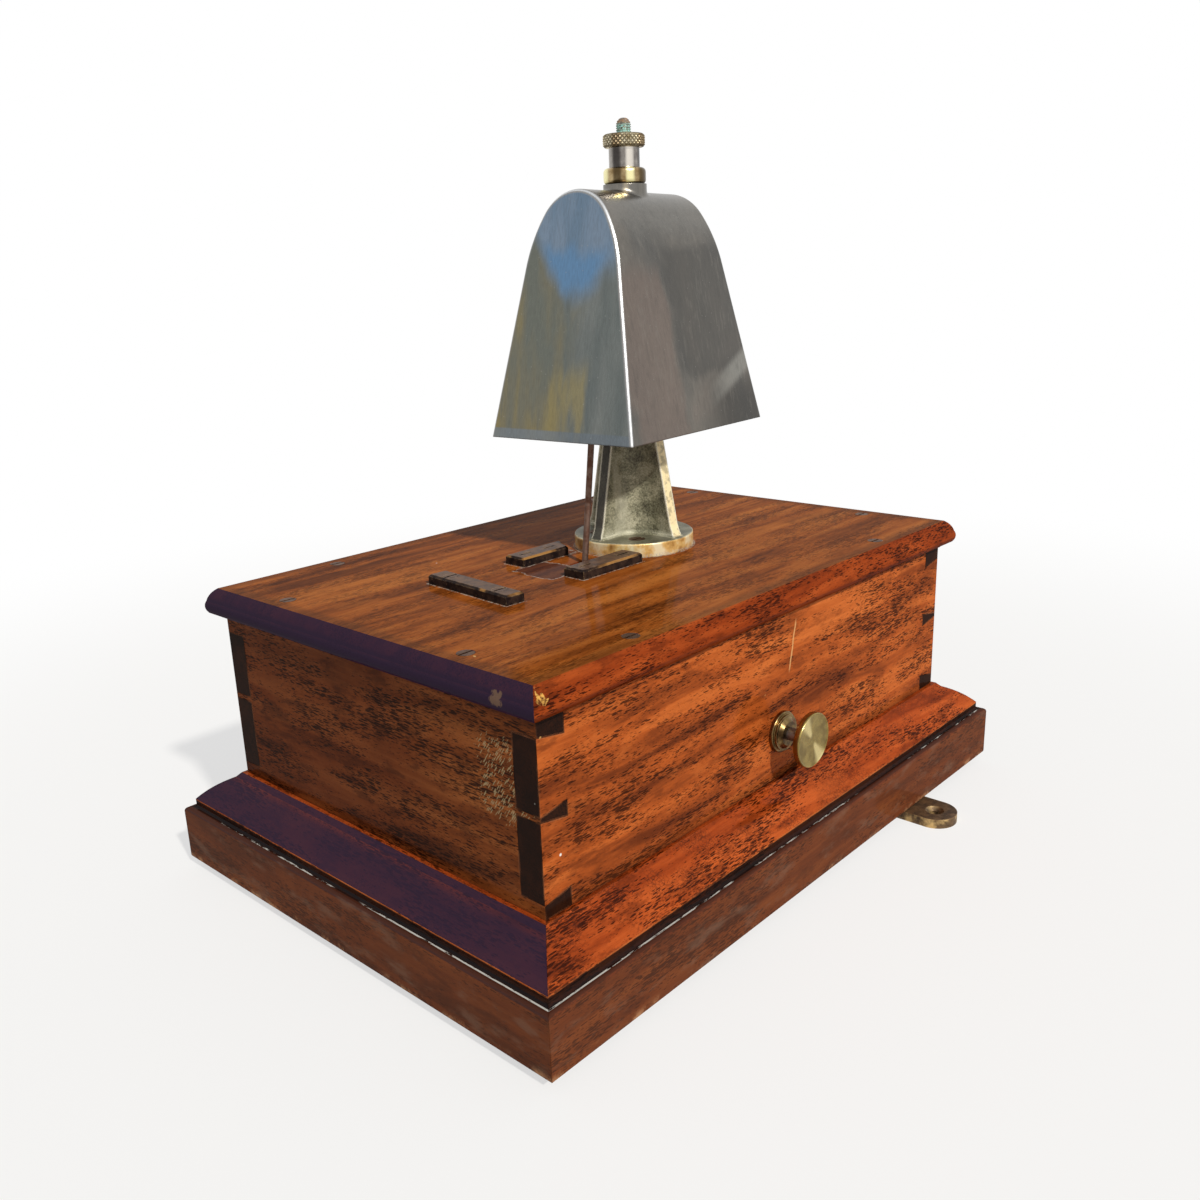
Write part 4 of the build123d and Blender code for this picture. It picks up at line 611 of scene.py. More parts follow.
def cast_pillar():
    """Greenish cast brass, gritty in the pockets, with a painted upright sheen, painted shade on the
    ribs and the flange's top, a painted highlight on the ribs' front faces, bright worn arrises and a
    gold flange side.
    """
    f = Finish("cast_brass", Metallic=0.3)
    x, y, z = f.split(f.here)
    _, ny, nz = f.split(f.facing())
    grit = f.noise(1100.0, 4.0, 0.7)
    lumps = f.noise(120.0, 4.0, 0.6)
    metal = f.tones(
        lumps * 0.5 + grit * 0.5,
        [(0.38, (0.06, 0.056, 0.034)), (0.5, (0.225, 0.218, 0.14)), (0.62, (0.5, 0.475, 0.335))],
    )
    foot = z - LID_TOP
    # Painted highlight: pale upright sheen on the cast brass.
    sheen = f.noise((90, 90, 16))
    aside, ahead = (x - PILLAR_CENTRE.x).size(), (y - PILLAR_CENTRE.y).size()
    # Painted shade and light: the ribs above the flange are near black as in shade, and their
    # front-facing faces bright gold as lit, with glints.
    rim = aside.under(ahead).rise(2.85 * MM, 2.65 * MM) * foot.rise(7 * MM, 8 * MM)
    lit = rim * (-ny).rise(0.3, 0.7)
    glint = f.noise(260.0, 4.0, 0.6)
    # Painted shade: the flange's top is darkened as in shade.
    top = nz.rise(0.8, 0.95) * foot.rise(8 * MM, 7 * MM)
    arris = aside.under(ahead).band(2.3 * MM, 3.1 * MM, 0.5 * MM) * f.edges(1.6 * MM, 0.006, 0.04)
    side = foot.rise(7.4 * MM, 6.2 * MM) * nz.rise(0.8, 0.4)
    gold = f.tones(
        f.noise(70.0, 4.0, 0.6),
        [(0.4, (0.4, 0.18, 0.03)), (0.5, (0.8, 0.52, 0.17)), (0.6, (0.94, 0.84, 0.55))],
    )
    crust = foot.rise(2.2 * MM, 0.6 * MM) * grit.rise(0.42, 0.58)
    metal = f.coats(
        metal,
        (sheen.rise(0.5, 0.64) * 0.5, (0.58, 0.56, 0.43)),
        (rim * 0.85, (0.022, 0.018, 0.014)),
        (lit * (0.55 + glint.rise(0.42, 0.56) * 0.45), (0.92, 0.78, 0.46)),
        (top * 0.6, (0.085, 0.078, 0.05)),
        (arris * foot.rise(6 * MM, 9 * MM) * grit.rise(0.26, 0.42), (0.92, 0.88, 0.7)),
        (side * 0.92, gold),
        (crust * 0.7, (0.55, 0.52, 0.46)),
    )
    return f.skin(
        metal,
        0.4 + grit * 0.24 - side * 0.16,
        f.bump(grit * 0.5 + lumps * 0.5, 0.4 * MM, 0.55, 0.9 * MM),
    )


def bronzed_bar():
    """Dark bronzed bar with a golden brown worn top, bright arrises and golden chamfers: worn in
    patches, and a painted highlight where they face the front.
    """
    f = Finish("bronzed_brass", Specular_IOR_Level=0.04)
    _, ny, nz = f.split(f.facing())
    patch = f.noise(220.0, 5.0, 0.7)
    broad = f.noise(60.0, 3.0)
    scratch = f.noise(1.0, 2.0, at=f.moved(f.here, scale=(2400, 200, 600), turn=(0, 0, 0.35)))
    metal = f.mix(patch.rise(0.38, 0.62), (0.012, 0.008, 0.008), (0.04, 0.024, 0.018))
    top = f.mix(patch.rise(0.34, 0.64), (0.06, 0.032, 0.022), (0.15, 0.083, 0.05))
    # Golden chamfers: a painted highlight where they face the front, worn patches elsewhere.
    front = (-ny).rise(0.1, 0.45)
    slope = nz.band(0.45, 0.85, 0.08) * front.over(broad.rise(0.58, 0.64))
    worn = f.edges(0.5 * MM, 0.03, 0.14)
    metal = f.coats(
        metal,
        (nz.rise(0.85, 0.97), top),
        (slope * broad.rise(0.44, 0.62) * 0.8, (0.4, 0.2, 0.06)),
        (worn * patch.rise(0.46, 0.58) * 0.6, (0.5, 0.34, 0.17)),
        (scratch.rise(0.66, 0.74) * 0.4, (0.26, 0.17, 0.1)),
    )
    return f.skin(metal, 0.24 + patch * 0.24, f.bump(patch, 0.08 * MM, 0.5, 0.3 * MM))


def turned_brass(name, centre, axis, tone, dull, streaked=0.0):
    """Metal turned on a lathe: fine rings about an axis, tarnish and bright rims, and upright bands of
    painted reflection when asked.
    """
    f = Finish(name, Metallic=1.0)
    flat = tuple(0 if a else 1 for a in axis)
    radius = f.length(f.moved(f.here, centre=centre, scale=flat))
    rings = radius.waves(0.28 * MM)
    tarnish = f.noise(170.0, 5.0, 0.65)
    metal = f.mix(tarnish.rise(0.34, 0.66), tone, dull)
    metal = f.coats(
        metal,
        (f.edges(0.6 * MM, 0.03, 0.2) * 0.8, toned(tone, 1.5)),
        (rings * 0.18, toned(dull, 0.4)),
    )
    # Painted reflection: upright bright and dark bands round the fitting.
    if streaked:
        bright = reflection_streaks(f, centre)
        metal = f.coats(
            metal,
            (bright.rise(0.62, 0.86) * streaked, toned(tone, 2)),
            (bright.rise(0.42, 0.16) * streaked, toned(dull, 0.22)),
        )
    return f.skin(metal, 0.2 + tarnish * 0.16, f.bump(rings, 0.012 * MM, 0.8, 0.3 * MM))


def face_wedge(f, centre):
    """Two bright wedges across a turned face, as polished rings throw back one light."""
    x = f.split(f.moved(f.here, centre=centre, turn=(0, math.radians(WEDGE_TURN), 0)))[0]
    reach = f.length(f.moved(f.here, centre=centre, scale=(1, 0, 1)))
    wedge = (x.size() / (reach + 0.5 * MM)).rise(0.42, 0.1)
    ny = f.split(f.facing())[1]
    shine = wedge * (-ny).rise(0.6, 0.9) * reach.rise(1.0 * MM, 4.0 * MM)
    f.skin(f.mix(shine * 0.8, f.base(), (0.88, 0.74, 0.36)))


def verdigris_steel():
    """The bell post: steel below, its thread above crusted blue green."""
    f = Finish("post_steel")
    z = f.split(f.here)[2]
    crust = f.noise(800.0, 4.0, 0.7)
    green = (z - NUT_HIGH.z).rise(-1 * MM, 0.4 * MM) * crust.rise(0.38, 0.58)
    tone = f.mix(crust, (0.1, 0.34, 0.33), (0.42, 0.66, 0.62))
    tip = f.mix(crust, (0.14, 0.06, 0.03), (0.42, 0.28, 0.16))
    tone = f.mix((z - POST_HIGH.z).rise(-3.2 * MM, -2.2 * MM), tone, tip)
    steel = f.mix(crust, (0.16, 0.14, 0.12), (0.34, 0.3, 0.26))
    return f.skin(
        f.mix(green, steel, tone),
        0.34 + green * 0.45,
        f.bump(crust, 0.1 * MM, 0.6),
        Metallic=1 - green,
    )


def knurled_brass():
    """Brass of the knurled nut, with painted shade in the cuts between its diamonds and a painted dark
    brown reflection on its left.
    """
    f = Finish("knurled_brass", Metallic=1.0)
    centre = centre_of("knurled_nut")
    radius = f.length(f.moved(f.here, centre=centre, scale=(1, 1, 0)))
    rim = (NUT_HIGH.x - NUT_LOW.x) / 2
    # Painted shade: the bottoms of the knurl's cuts.
    deep = radius.rise(rim - 0.05 * MM, rim - 0.5 * MM) * radius.rise(rim - 2.0 * MM, rim - 1.0 * MM)
    stain = f.noise(380.0, 4.0, 0.6)
    metal = f.mix(stain.rise(0.38, 0.66), (0.92, 0.84, 0.62), (0.56, 0.46, 0.27))
    # Painted reflection: dark brown on the left; painted shade: dark in the cuts.
    metal = f.coats(
        metal,
        (reflection_streaks(f, centre).rise(0.45, 0.15) * 0.75, (0.26, 0.16, 0.075)),
        (deep * 0.8, (0.06, 0.042, 0.02)),
    )
    return f.skin(metal, 0.24 + stain * 0.2 + deep * 0.25)


def reflection_streaks(f, centre):
    """Upright bands of painted reflection round a turned fitting, 0 where dark and 1 where bright,
    running across one fixed direction.
    """
    x, y, _ = f.split(f.moved(f.here, centre=centre))
    across = (x * 0.67 - y * 0.74) / (10 * MM)
    sway = f.noise((150, 150, 30), 2.0) * 0.16
    return ((across + sway) * 5.2).maths("SINE") * 0.38 + 0.5


def dark_ebonite():
    """Black ebonite gone faintly brown, with a fine sheen of scratches."""
    f = Finish("ebonite")
    fade = f.noise(70.0, 4.0)
    scratch = f.noise((2000, 160, 2000), 2.0)
    return f.skin(
        f.mix(fade, (0.01, 0.009, 0.009), (0.045, 0.032, 0.02)),
        0.3 + scratch * 0.3,
        f.bump(scratch, 0.03 * MM, 0.4, 0.3 * MM),
    )


def cotton_wire():
    """Green cotton covered wire, wound in close turns along X, with painted shade between the turns."""
    f = Finish("cotton_winding", Roughness=0.85)
    turns = f.split(f.here)[0].waves(0.7 * MM)
    fibre = f.noise(2600.0, 3.0)
    green = f.mix(fibre, (0.02, 0.075, 0.035), (0.06, 0.17, 0.08))
    # Painted shade: darker green between the turns.
    return f.skin(
        f.mix(turns, f.mix(0.6, green, (0.004, 0.012, 0.006)), green), bump=f.bump(turns, 0.3 * MM, 0.9)
    )


def wound_steel():
    """Bright spring steel with the turns of a close coil along X, painted near black between the turns
    as shade.
    """
    f = Finish("arm_spring_steel", Metallic=1.0)
    turns = f.split(f.here)[0].waves(1.6 * MM)
    # Painted shade: near black between the turns.
    rust = f.noise(500.0, 4.0)
    return f.skin(
        f.mix(turns, (0.03, 0.03, 0.03), f.mix(rust, (0.45, 0.45, 0.46), (0.22, 0.16, 0.12))),
        0.28 + rust * 0.2,
        f.bump(turns, 0.6 * MM, 1.0),
    )


def old_leather():
    """The washer's leather: dark, creased and dry."""
    f = Finish("leather_washer")
    crease = f.cells(900.0)
    tone = f.mix(crease, (0.07, 0.035, 0.018), (0.17, 0.09, 0.05))
    return f.skin(tone, 0.62 + crease * 0.2, f.bump(crease, 0.1 * MM))


# Surfaces


def grid_mesh(name, x, y, z, wrap):
    """A mesh from arrays of points, rows by columns; wrap joins the last column to the first."""
    rows, columns = x.shape
    points = np.stack([x, y, z], axis=-1).reshape(-1, 3)
    last = columns if wrap else columns - 1
    i, j = np.meshgrid(np.arange(rows - 1), np.arange(last), indexing="ij")
    k = (j + 1) % columns
    quads = np.stack(
        [i * columns + j, i * columns + k, (i + 1) * columns + k, (i + 1) * columns + j], axis=-1
    ).reshape(-1, 4)
    mesh = bpy.data.meshes.new(name)
    mesh.from_pydata(points.tolist(), [], quads.tolist())
    mesh.validate()
    mesh.polygons.foreach_set("use_smooth", np.ones(len(mesh.polygons), bool))
    return mesh


def piece(name, mesh, finish, body, slot, *replaced):
    """Puts a mesh in the scene as a piece that rides on a body and stands for CAD nodes."""
    obj = bpy.data.objects.new(name, mesh)
    bpy.context.collection.objects.link(obj)
    mesh.materials.append(finish.material)
    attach(obj, body)
    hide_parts(*replaced)
    return obj


def dress(finish, *nodes):
    """Gives a finish to CAD nodes, in place of their packed materials."""
    for node in nodes:
        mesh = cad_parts[node].data
        mesh.materials.clear()
        mesh.materials.append(finish.material)


def lathe(name, centre, along, out, columns, ripple):
    """A closed turned surface about Z.

    At height along and radius out, the point at angle a is
    (centre.x + r cos a, centre.y + r sin a, along), with r = out less the ripple there.
    """
    angle = np.linspace(0, 2 * np.pi, columns, endpoint=False)
    height, turn = np.meshgrid(along, angle, indexing="ij")
    radius = np.repeat(out[:, None], columns, axis=1)
    radius = radius - ripple(height, turn, radius)
    x, y = centre.x + radius * np.cos(turn), centre.y + radius * np.sin(turn)
    return grid_mesh(name, x, y, height, True)


def finished(mesh, degrees):
    """Merges poles and seams, turns faces outwards and keeps edges above this angle sharp."""
    reach = 0.001 * MM
    work = bmesh.new()
    work.from_mesh(mesh)
    bmesh.ops.remove_doubles(work, verts=work.verts, dist=reach)
    bmesh.ops.dissolve_degenerate(work, dist=reach, edges=work.edges)
    bmesh.ops.recalc_face_normals(work, faces=work.faces)
    work.to_mesh(mesh)
    work.free()
    mesh.set_sharp_from_angle(angle=math.radians(degrees))
    return mesh


def knurled_nut(sizes):
    """The nut: a ring whose rim is cut by two crossing sets of grooves.

    With n diamonds round the rim and height h, the groove phases are
    n a / 2 pi + h / pitch and n a / 2 pi - h / pitch, and the rim stands back by the depth
    times 1 less the lower of the two triangle waves.
    """
    low, high = NUT_LOW.z, NUT_HIGH.z
    rim = (NUT_HIGH.x - NUT_LOW.x) / 2
    edge = 1.5 * MM
    bore = 3.6 * MM
    bend = np.linspace(0, np.pi / 2, 9)
    side = np.linspace(low + edge, high - edge, 25)
    heights = np.concatenate(
        [[low], low + edge * (1 - np.cos(bend)), side, high - edge * (1 - np.sin(bend)), [high, low]]
    )
    round_out = rim - edge * (1 - np.sin(bend))
    radii = np.concatenate([[bore], round_out, np.full(25, rim), round_out[::-1], [bore, bore]])

    def diamonds(height, turn, radius):
        across = sizes.diamonds * turn / (2 * np.pi)
        rise = (height - low) / sizes.pitch
        cut = [1 - np.abs(((across + s * rise) % 1.0) * 2 - 1) for s in (-1, 1)]
        outer = np.clip((radius - rim + edge) / edge, 0, 1)
        return outer * sizes.depth * (1 - np.minimum(*cut))

    columns = sizes.diamonds * 12
    mesh = lathe("knurled_rim", centre_of("knurled_nut"), heights, radii, columns, diamonds)
    return finished(mesh, 24)


def threaded_post(sizes):
    """The bell post: plain below the washer, threaded above, with a rounded tip.

    Above the shoulder the radius is r - d (1 + cos(2 pi h / pitch - a)) / 2, a single
    start helix, and the tip is the quarter circle r sqrt(1 - t^2) over the last stretch.
    """
    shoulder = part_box("bell_washer")[0].z
    core = 3.5 * MM
    tip = 3.2 * MM
    straight = POST_HIGH.z - tip
    top = np.linspace(NUT_HIGH.z - 2 * MM, straight, 60)
    t = np.linspace(0, 1, 22)[1:]
    dome = straight + tip * t
    heights = np.concatenate([[POST_LOW.z, POST_LOW.z, shoulder, shoulder], top, dome])
    full = (POST_HIGH.x - POST_LOW.x) / 2
    radii = np.concatenate([[0, full, full, core], np.full(60, core), core * np.sqrt(1 - t**2)])

    def thread(height, turn, radius):
        wave = (1 + np.cos(2 * np.pi * height / sizes.thread_pitch - turn)) / 2
        on = (height >= top[0]) & (height < POST_HIGH.z - 0.8 * MM)
        return np.where(on, sizes.thread_depth * wave * radius / core, 0)

    mesh = lathe("post_turned", centre_of("bell_post"), heights, radii, 64, thread)
    return finished(mesh, 40)


def turned_knob(sizes):
    """The knob, turned about Y: a dished face inside a rolled rim, a step and a flared neck.

    The face stands back by dish (1 - (r / R)^2) and the rims are half circles; the neck
    follows r = neck + (R - neck)(1 - sin(pi t / 2)) from the back of the rim to the hub.
    """
    rim = (KNOB_HIGH.x - KNOB_LOW.x) / 2
    face, hub = KNOB_LOW.y, KNOB_HIGH.y
    bead = 0.5 * MM
    thick = 3.2 * MM
    r_face = np.linspace(0, rim - 2.2 * bead, 40)
    y_face = face + bead * 0.5 + sizes.dish * (1 - (r_face / rim) ** 2)
    a = np.linspace(-np.pi / 2, np.pi / 2, 14)
    middle = face + thick / 2
    roll = thick / 2
    r_roll = rim - bead * 1.1 + bead * 1.1 * np.cos(a)
    y_roll = middle + roll * np.sign(np.sin(a)) * np.abs(np.sin(a)) ** 0.6
    t = np.linspace(0, 1, 24)
    neck = 4.4 * MM
    start = rim - 3.0 * bead
    r_neck = neck + (start - neck) * (1 - np.sin(np.pi * t / 2))
    y_neck = face + thick + (hub - face - thick) * t
    radii = np.concatenate([r_face, r_roll, r_neck, [0]])
    places = np.concatenate([y_face, y_roll, y_neck, [hub]])
    centre = centre_of("plunger_knob")
    turn, along = np.meshgrid(np.linspace(0, 2 * np.pi, 128, endpoint=False), places)
    out = np.repeat(radii[:, None], 128, axis=1)
    x, z = centre.x + out * np.cos(turn), centre.z + out * np.sin(turn)
    return finished(grid_mesh("knob_turned", x, along, z, True), 35)


def coil_spring(name, node, lead, wire, pitch):
    """A helical spring in the place of a plain one, its axis along axis number lead.

    At turn angle a the middle of the wire is at radius r about the spring's axis and has
    gone on by pitch a / 2 pi; round it runs a circle of the wire's radius, in the plane
    through the spring's axis. Both ends of the wire close in a point.
    """
    low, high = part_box(node)
    middle = (low + high) / 2
    side, up = [axis for axis in range(3) if axis != lead]
    coil = (high[side] - low[side] - wire) / 2
    run = high[lead] - low[lead] - wire
    turns = round(run / pitch)
    angle = np.linspace(0, 2 * np.pi * turns, 28 * turns + 1)
    angle = np.concatenate([angle[:1], angle, angle[-1:]])
    thick = np.full(len(angle), wire / 2)
    thick[[0, -1]] = 0
    turn, round_wire = np.meshgrid(angle, np.linspace(0, 2 * np.pi, 10, endpoint=False), indexing="ij")
    radius = coil + thick[:, None] * np.cos(round_wire)
    points = [None] * 3
    points[lead] = low[lead] + wire / 2 + run * turn / angle[-1] + thick[:, None] * np.sin(round_wire)
    points[side] = middle[side] + radius * np.cos(turn)
    points[up] = middle[up] + radius * np.sin(turn)
    return finished(grid_mesh(name, *points, True), 60)


# Sizes and colours that a user would change


def colour(name, description, default):
    return bpy.props.FloatVectorProperty(
        name=name, description=description, default=default, size=3, min=0, max=1, subtype="COLOR"
    )


def length(name, description, default):
    return bpy.props.FloatProperty(
        name=name, description=description, default=default, unit="LENGTH", subtype="DISTANCE"
    )


def angle(name, description, default):
    return bpy.props.FloatProperty(
        name=name,
        description=description,
        default=math.radians(default),
        unit="ROTATION",
        subtype="ANGLE",
    )


class WoodLook(bpy.types.PropertyGroup):
    """Tones of the polished mahogany."""

    dark: colour("Dark grain", "Tone of the dark figure", (0.125, 0.026, 0.006))
    middle: colour("Middle grain", "Main tone of the wood", (0.375, 0.08, 0.014))
    light: colour("Light grain", "Tone of the light figure", (0.56, 0.145, 0.03))
    worn: colour("Worn edge", "Bare wood where the polish has gone", (0.34, 0.12, 0.05))
    top_tint: colour("Top tint", "Colour that the lid's top is multiplied by", (0.8, 0.98, 0.88))
    bevel_tint: colour("Bevel tint", "Colour that the bevels are multiplied by", (0.62, 0.44, 0.36))
    # Painted reflection: the tone of a blue sky mirrored in the polish of the left bevels.
    sky_reflection: colour("Sky reflection", "Blue bloom in the polish of the left bevels", (0.026, 0.014, 0.034))
    side_bar_turn: angle("Side bar turn", "How far the side bar is out of square", -3.9)


class BellLook(bpy.types.PropertyGroup):
    """Tones of the bell metal."""

    metal: colour("Metal", "Main tone of the bell metal", (0.175, 0.16, 0.138))
    shade: colour("Shade", "Darker tone in the clouds", (0.125, 0.12, 0.11))
    warm: colour("Warm tone", "Brown tone in the clouds", (0.225, 0.19, 0.16))
    # Painted reflection: the blue of the sky mirrored on the bell's left end.
    blue: colour("Blue", "Blue sky reflection painted on the left end", (0.078, 0.19, 0.34))
    turn: angle("Bell turn", "How far the bell is turned on its post", 5.0)


class FittingSizes(bpy.types.PropertyGroup):
    """Sizes of the turned and cut fittings."""

    diamonds: bpy.props.IntProperty(
        name="Diamonds", description="Diamonds round the nut's rim", default=30, min=8, max=80
    )
    pitch: length("Knurl pitch", "Height of one diamond", 2.0 * MM)
    depth: length("Knurl depth", "Depth of the knurl's grooves", 0.6 * MM)
    thread_pitch: length("Thread pitch", "Pitch of the post's thread", 1.0 * MM)
    thread_depth: length("Thread depth", "Depth of the post's thread", 0.45 * MM)
    plunger_wire: length("Plunger spring wire", "Thickness of the plunger spring's wire", 0.9 * MM)
    plunger_pitch: length("Plunger spring pitch", "Pitch of the plunger spring's turns", 1.9 * MM)
    return_wire: length("Return spring wire", "Thickness of the return spring's wire", 0.8 * MM)
    return_pitch: length("Return spring pitch", "Pitch of the return spring's turns", 1.4 * MM)
    dish: length("Knob dish", "How far the knob's face is hollowed", 0.35 * MM)


class StageSizes(bpy.types.PropertyGroup):
    """Camera, light and floor."""

    eye: bpy.props.FloatVectorProperty(
        name="Eye",
        description="Place of the camera",
        default=(-0.39487, -0.35776, 0.27359),
        subtype="TRANSLATION",
        unit="LENGTH",
    )
    azimuth: angle("Azimuth", "Direction of the camera round the object", -47.294)
    elevation: angle("Elevation", "Height of the camera above the horizon", 16.437)
    roll: angle("Roll", "Roll of the camera", -2.008)
    lens: bpy.props.FloatProperty(
        name="Lens", description="Focal length", default=33.085, min=1, subtype="DISTANCE_CAMERA"
    )
    key: bpy.props.FloatProperty(
        name="Key strength", description="Strength of the key light", default=3.1, min=0
    )
    fill: bpy.props.FloatProperty(
        name="Fill strength", description="Strength of the light from all round", default=0.36, min=0
    )
    floor: colour("Floor", "Colour of the floor", (0.8, 0.8, 0.79))


class BlockBellSettings(bpy.types.PropertyGroup):
    """All settings of the block bell."""

    wood: bpy.props.PointerProperty(type=WoodLook, name="Wood", description="Wood tones")
    bell: bpy.props.PointerProperty(type=BellLook, name="Bell", description="Bell tones")
    fittings: bpy.props.PointerProperty(
        type=FittingSizes, name="Fittings", description="Sizes of the fittings"
    )
    stage: bpy.props.PointerProperty(type=StageSizes, name="Stage", description="Stage")


# Operators


class Step:
    """What the operators share: each makes its pieces from the settings."""

    def execute(self, context):
        self.make(context.scene, context.scene.block_bell)
        return {"FINISHED"}


class BLOCKBELL_OT_woodwork(Step, bpy.types.Operator):
    """Polish the plinth, the case, the lid and the bottom board"""

    bl_idname = "blockbell.woodwork"
    bl_label = "Woodwork"

    def make(self, scene, settings):
        look = settings.wood
        dress(lid_wood(look), "lid")
        dress(case_wood(look, "long_board_wood", ALONG_X), "case_front", "case_back")
        dress(case_wood(look, "end_board_wood", ALONG_Y), "case_left", "case_right")
        dress(plinth_wood(look, "long_rail_wood", ALONG_X), "plinth_front", "plinth_back")
        dress(plinth_wood(look, "end_rail_wood", ALONG_Y), "plinth_left", "plinth_right")
        dress(case_wood(look, "bottom_wood", ALONG_X), "bottom_board")


class BLOCKBELL_OT_screws(Step, bpy.types.Operator):
    """Finish the screws"""

    bl_idname = "blockbell.screws"
    bl_label = "Screws"

    def make(self, scene, settings):
        dull = plain_steel("screw_steel", (0.15, 0.08, 0.048), (0.08, 0.036, 0.02), 0.42)
        held = ("plinth", "underside", "lid", "pillar", "fitting", "yoke", "armature")
        dress(dull, *(f"{place}_screws" for place in held))


class BLOCKBELL_OT_lid_fittings(Step, bpy.types.Operator):
    """Finish the three bars with their screws, and the two lugs"""

    bl_idname = "blockbell.lid_fittings"
    bl_label = "Bars and lugs"

    def make(self, scene, settings):
        dress(bronzed_bar(), "slot_bar_front", "slot_bar_back", "side_bar", "bar_screws")
        dress(lug_brass(), "lug_front", "lug_back")


class BLOCKBELL_OT_bell(Step, bpy.types.Operator):
    """Finish the bell, its pillar and its washer"""

    bl_idname = "blockbell.bell"
    bl_label = "Bell and pillar"

    def make(self, scene, settings):
        dress(polished_bell(settings.bell), "bell")
        dress(cast_pillar(), "bell_pillar")
        dress(old_leather(), "bell_washer")


class BLOCKBELL_OT_top_fittings(Step, bpy.types.Operator):
    """Make the knurled nut and the threaded post, and finish the collar and the sleeve"""

    bl_idname = "blockbell.top_fittings"
    bl_label = "Nut and post"

    def make(self, scene, settings):
        sizes = settings.fittings
        piece("nut_knurled", knurled_nut(sizes), knurled_brass(), "case", "brass", "knurled_nut")
        piece("post_threaded", threaded_post(sizes), verdigris_steel(), "case", "steel", "bell_post")
        about = centre_of("bell_collar"), (0, 0, 1)
        tones = (0.6, 0.47, 0.26), (0.26, 0.175, 0.08)
        dress(turned_brass("collar_brass", *about, *tones, 0.8), "bell_collar")
        tones = (0.37, 0.345, 0.31), (0.17, 0.15, 0.14)
        dress(turned_brass("sleeve_nickel", *about, *tones, 0.9), "bell_sleeve")


class BLOCKBELL_OT_plunger(Step, bpy.types.Operator):
    """Turn the plunger's knob and finish its rose and stem"""

    bl_idname = "blockbell.plunger"
    bl_label = "Plunger"

    def make(self, scene, settings):
        centre = centre_of("plunger_knob")
        tones = (0.4, 0.3, 0.1), (0.23, 0.165, 0.055)
        knob = turned_brass("knob_brass", centre, ALONG_Y, *tones)
        face_wedge(knob, centre)
        turned = turned_knob(settings.fittings)
        piece("knob_turned", turned, knob, "plunger", "brass", "plunger_knob")
        tones = (0.3, 0.205, 0.085), (0.07, 0.04, 0.018)
        dress(turned_brass("rose_brass", centre, ALONG_Y, *tones), "plunger_rose")
        stem = plain_steel("stem_steel", (0.34, 0.32, 0.3), (0.16, 0.1, 0.07))
        dress(stem, "plunger_stem", "stem_collar")


class BLOCKBELL_OT_hammer(Step, bpy.types.Operator):
    """Finish the hammer and its armature"""

    bl_idname = "blockbell.hammer"
    bl_label = "Hammer"

    def make(self, scene, settings):
        rod = plain_steel("rod_steel", (0.2, 0.13, 0.1), (0.13, 0.06, 0.04), 0.5)
        dress(rod, "hammer_rod", "pivot_pin")
        brass = aged_brass("hammer_brass", (0.52, 0.4, 0.2), (0.22, 0.16, 0.08))
        dress(brass, "hammer_head", "hammer_hub")
        dress(plain_steel("soft_iron", (0.16, 0.16, 0.17), (0.09, 0.055, 0.04), 0.5), "armature")


class BLOCKBELL_OT_works(Step, bpy.types.Operator):
    """Finish the magnet, the contacts, the springs and the brackets inside the case"""

    bl_idname = "blockbell.works"
    bl_label = "Works"

    def make(self, scene, settings):
        brass = aged_brass("bracket_brass", (0.5, 0.38, 0.18), (0.24, 0.17, 0.08))
        dress(brass, "pivot_bracket", "stop_bracket", "magnet_bracket", "plunger_frame")
        dress(brass, "rose_nut", "contact_arm", "fixed_contact", "terminal_studs", "terminal_nuts")
        iron = plain_steel("magnet_iron", (0.14, 0.14, 0.15), (0.08, 0.05, 0.04), 0.5)
        dress(iron, "magnet_cores", "magnet_yoke")
        bright = plain_steel("bright_steel", (0.42, 0.41, 0.4), (0.2, 0.13, 0.09), 0.35)
        dress(bright, "stop_screw", "stop_nut", "contact_pin")
        dress(dark_ebonite(), "coil_bobbins", "contact_block", "terminal_block")
        dress(cotton_wire(), "coil_windings")
        dress(wound_steel(), "arm_spring")
        sizes = settings.fittings
        steel = plain_steel("spring_steel", (0.46, 0.46, 0.47), (0.22, 0.16, 0.12), 0.3)
        wire, pitch = sizes.return_wire, sizes.return_pitch
        mesh = coil_spring("coil_return", "return_spring", 0, wire, pitch)
        piece("coil_return", mesh, steel, "case", "spring_steel", "return_spring")
        wire, pitch = sizes.plunger_wire, sizes.plunger_pitch
        mesh = coil_spring("coil_plunger", "plunger_spring", 1, wire, pitch)
        coil = piece("coil_plunger", mesh, steel, "case", "spring_steel", "plunger_spring")
        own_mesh(coil)


class BLOCKBELL_OT_stage(Step, bpy.types.Operator):
    """Lay the floor and set the lights and the camera"""

    bl_idname = "blockbell.stage"
    bl_label = "Stage"

    def make(self, scene, settings):
        lay_floor(settings.stage)
        light(scene, settings.stage)
        point_camera(scene, settings.stage)
        scene.view_settings.view_transform = "Standard"


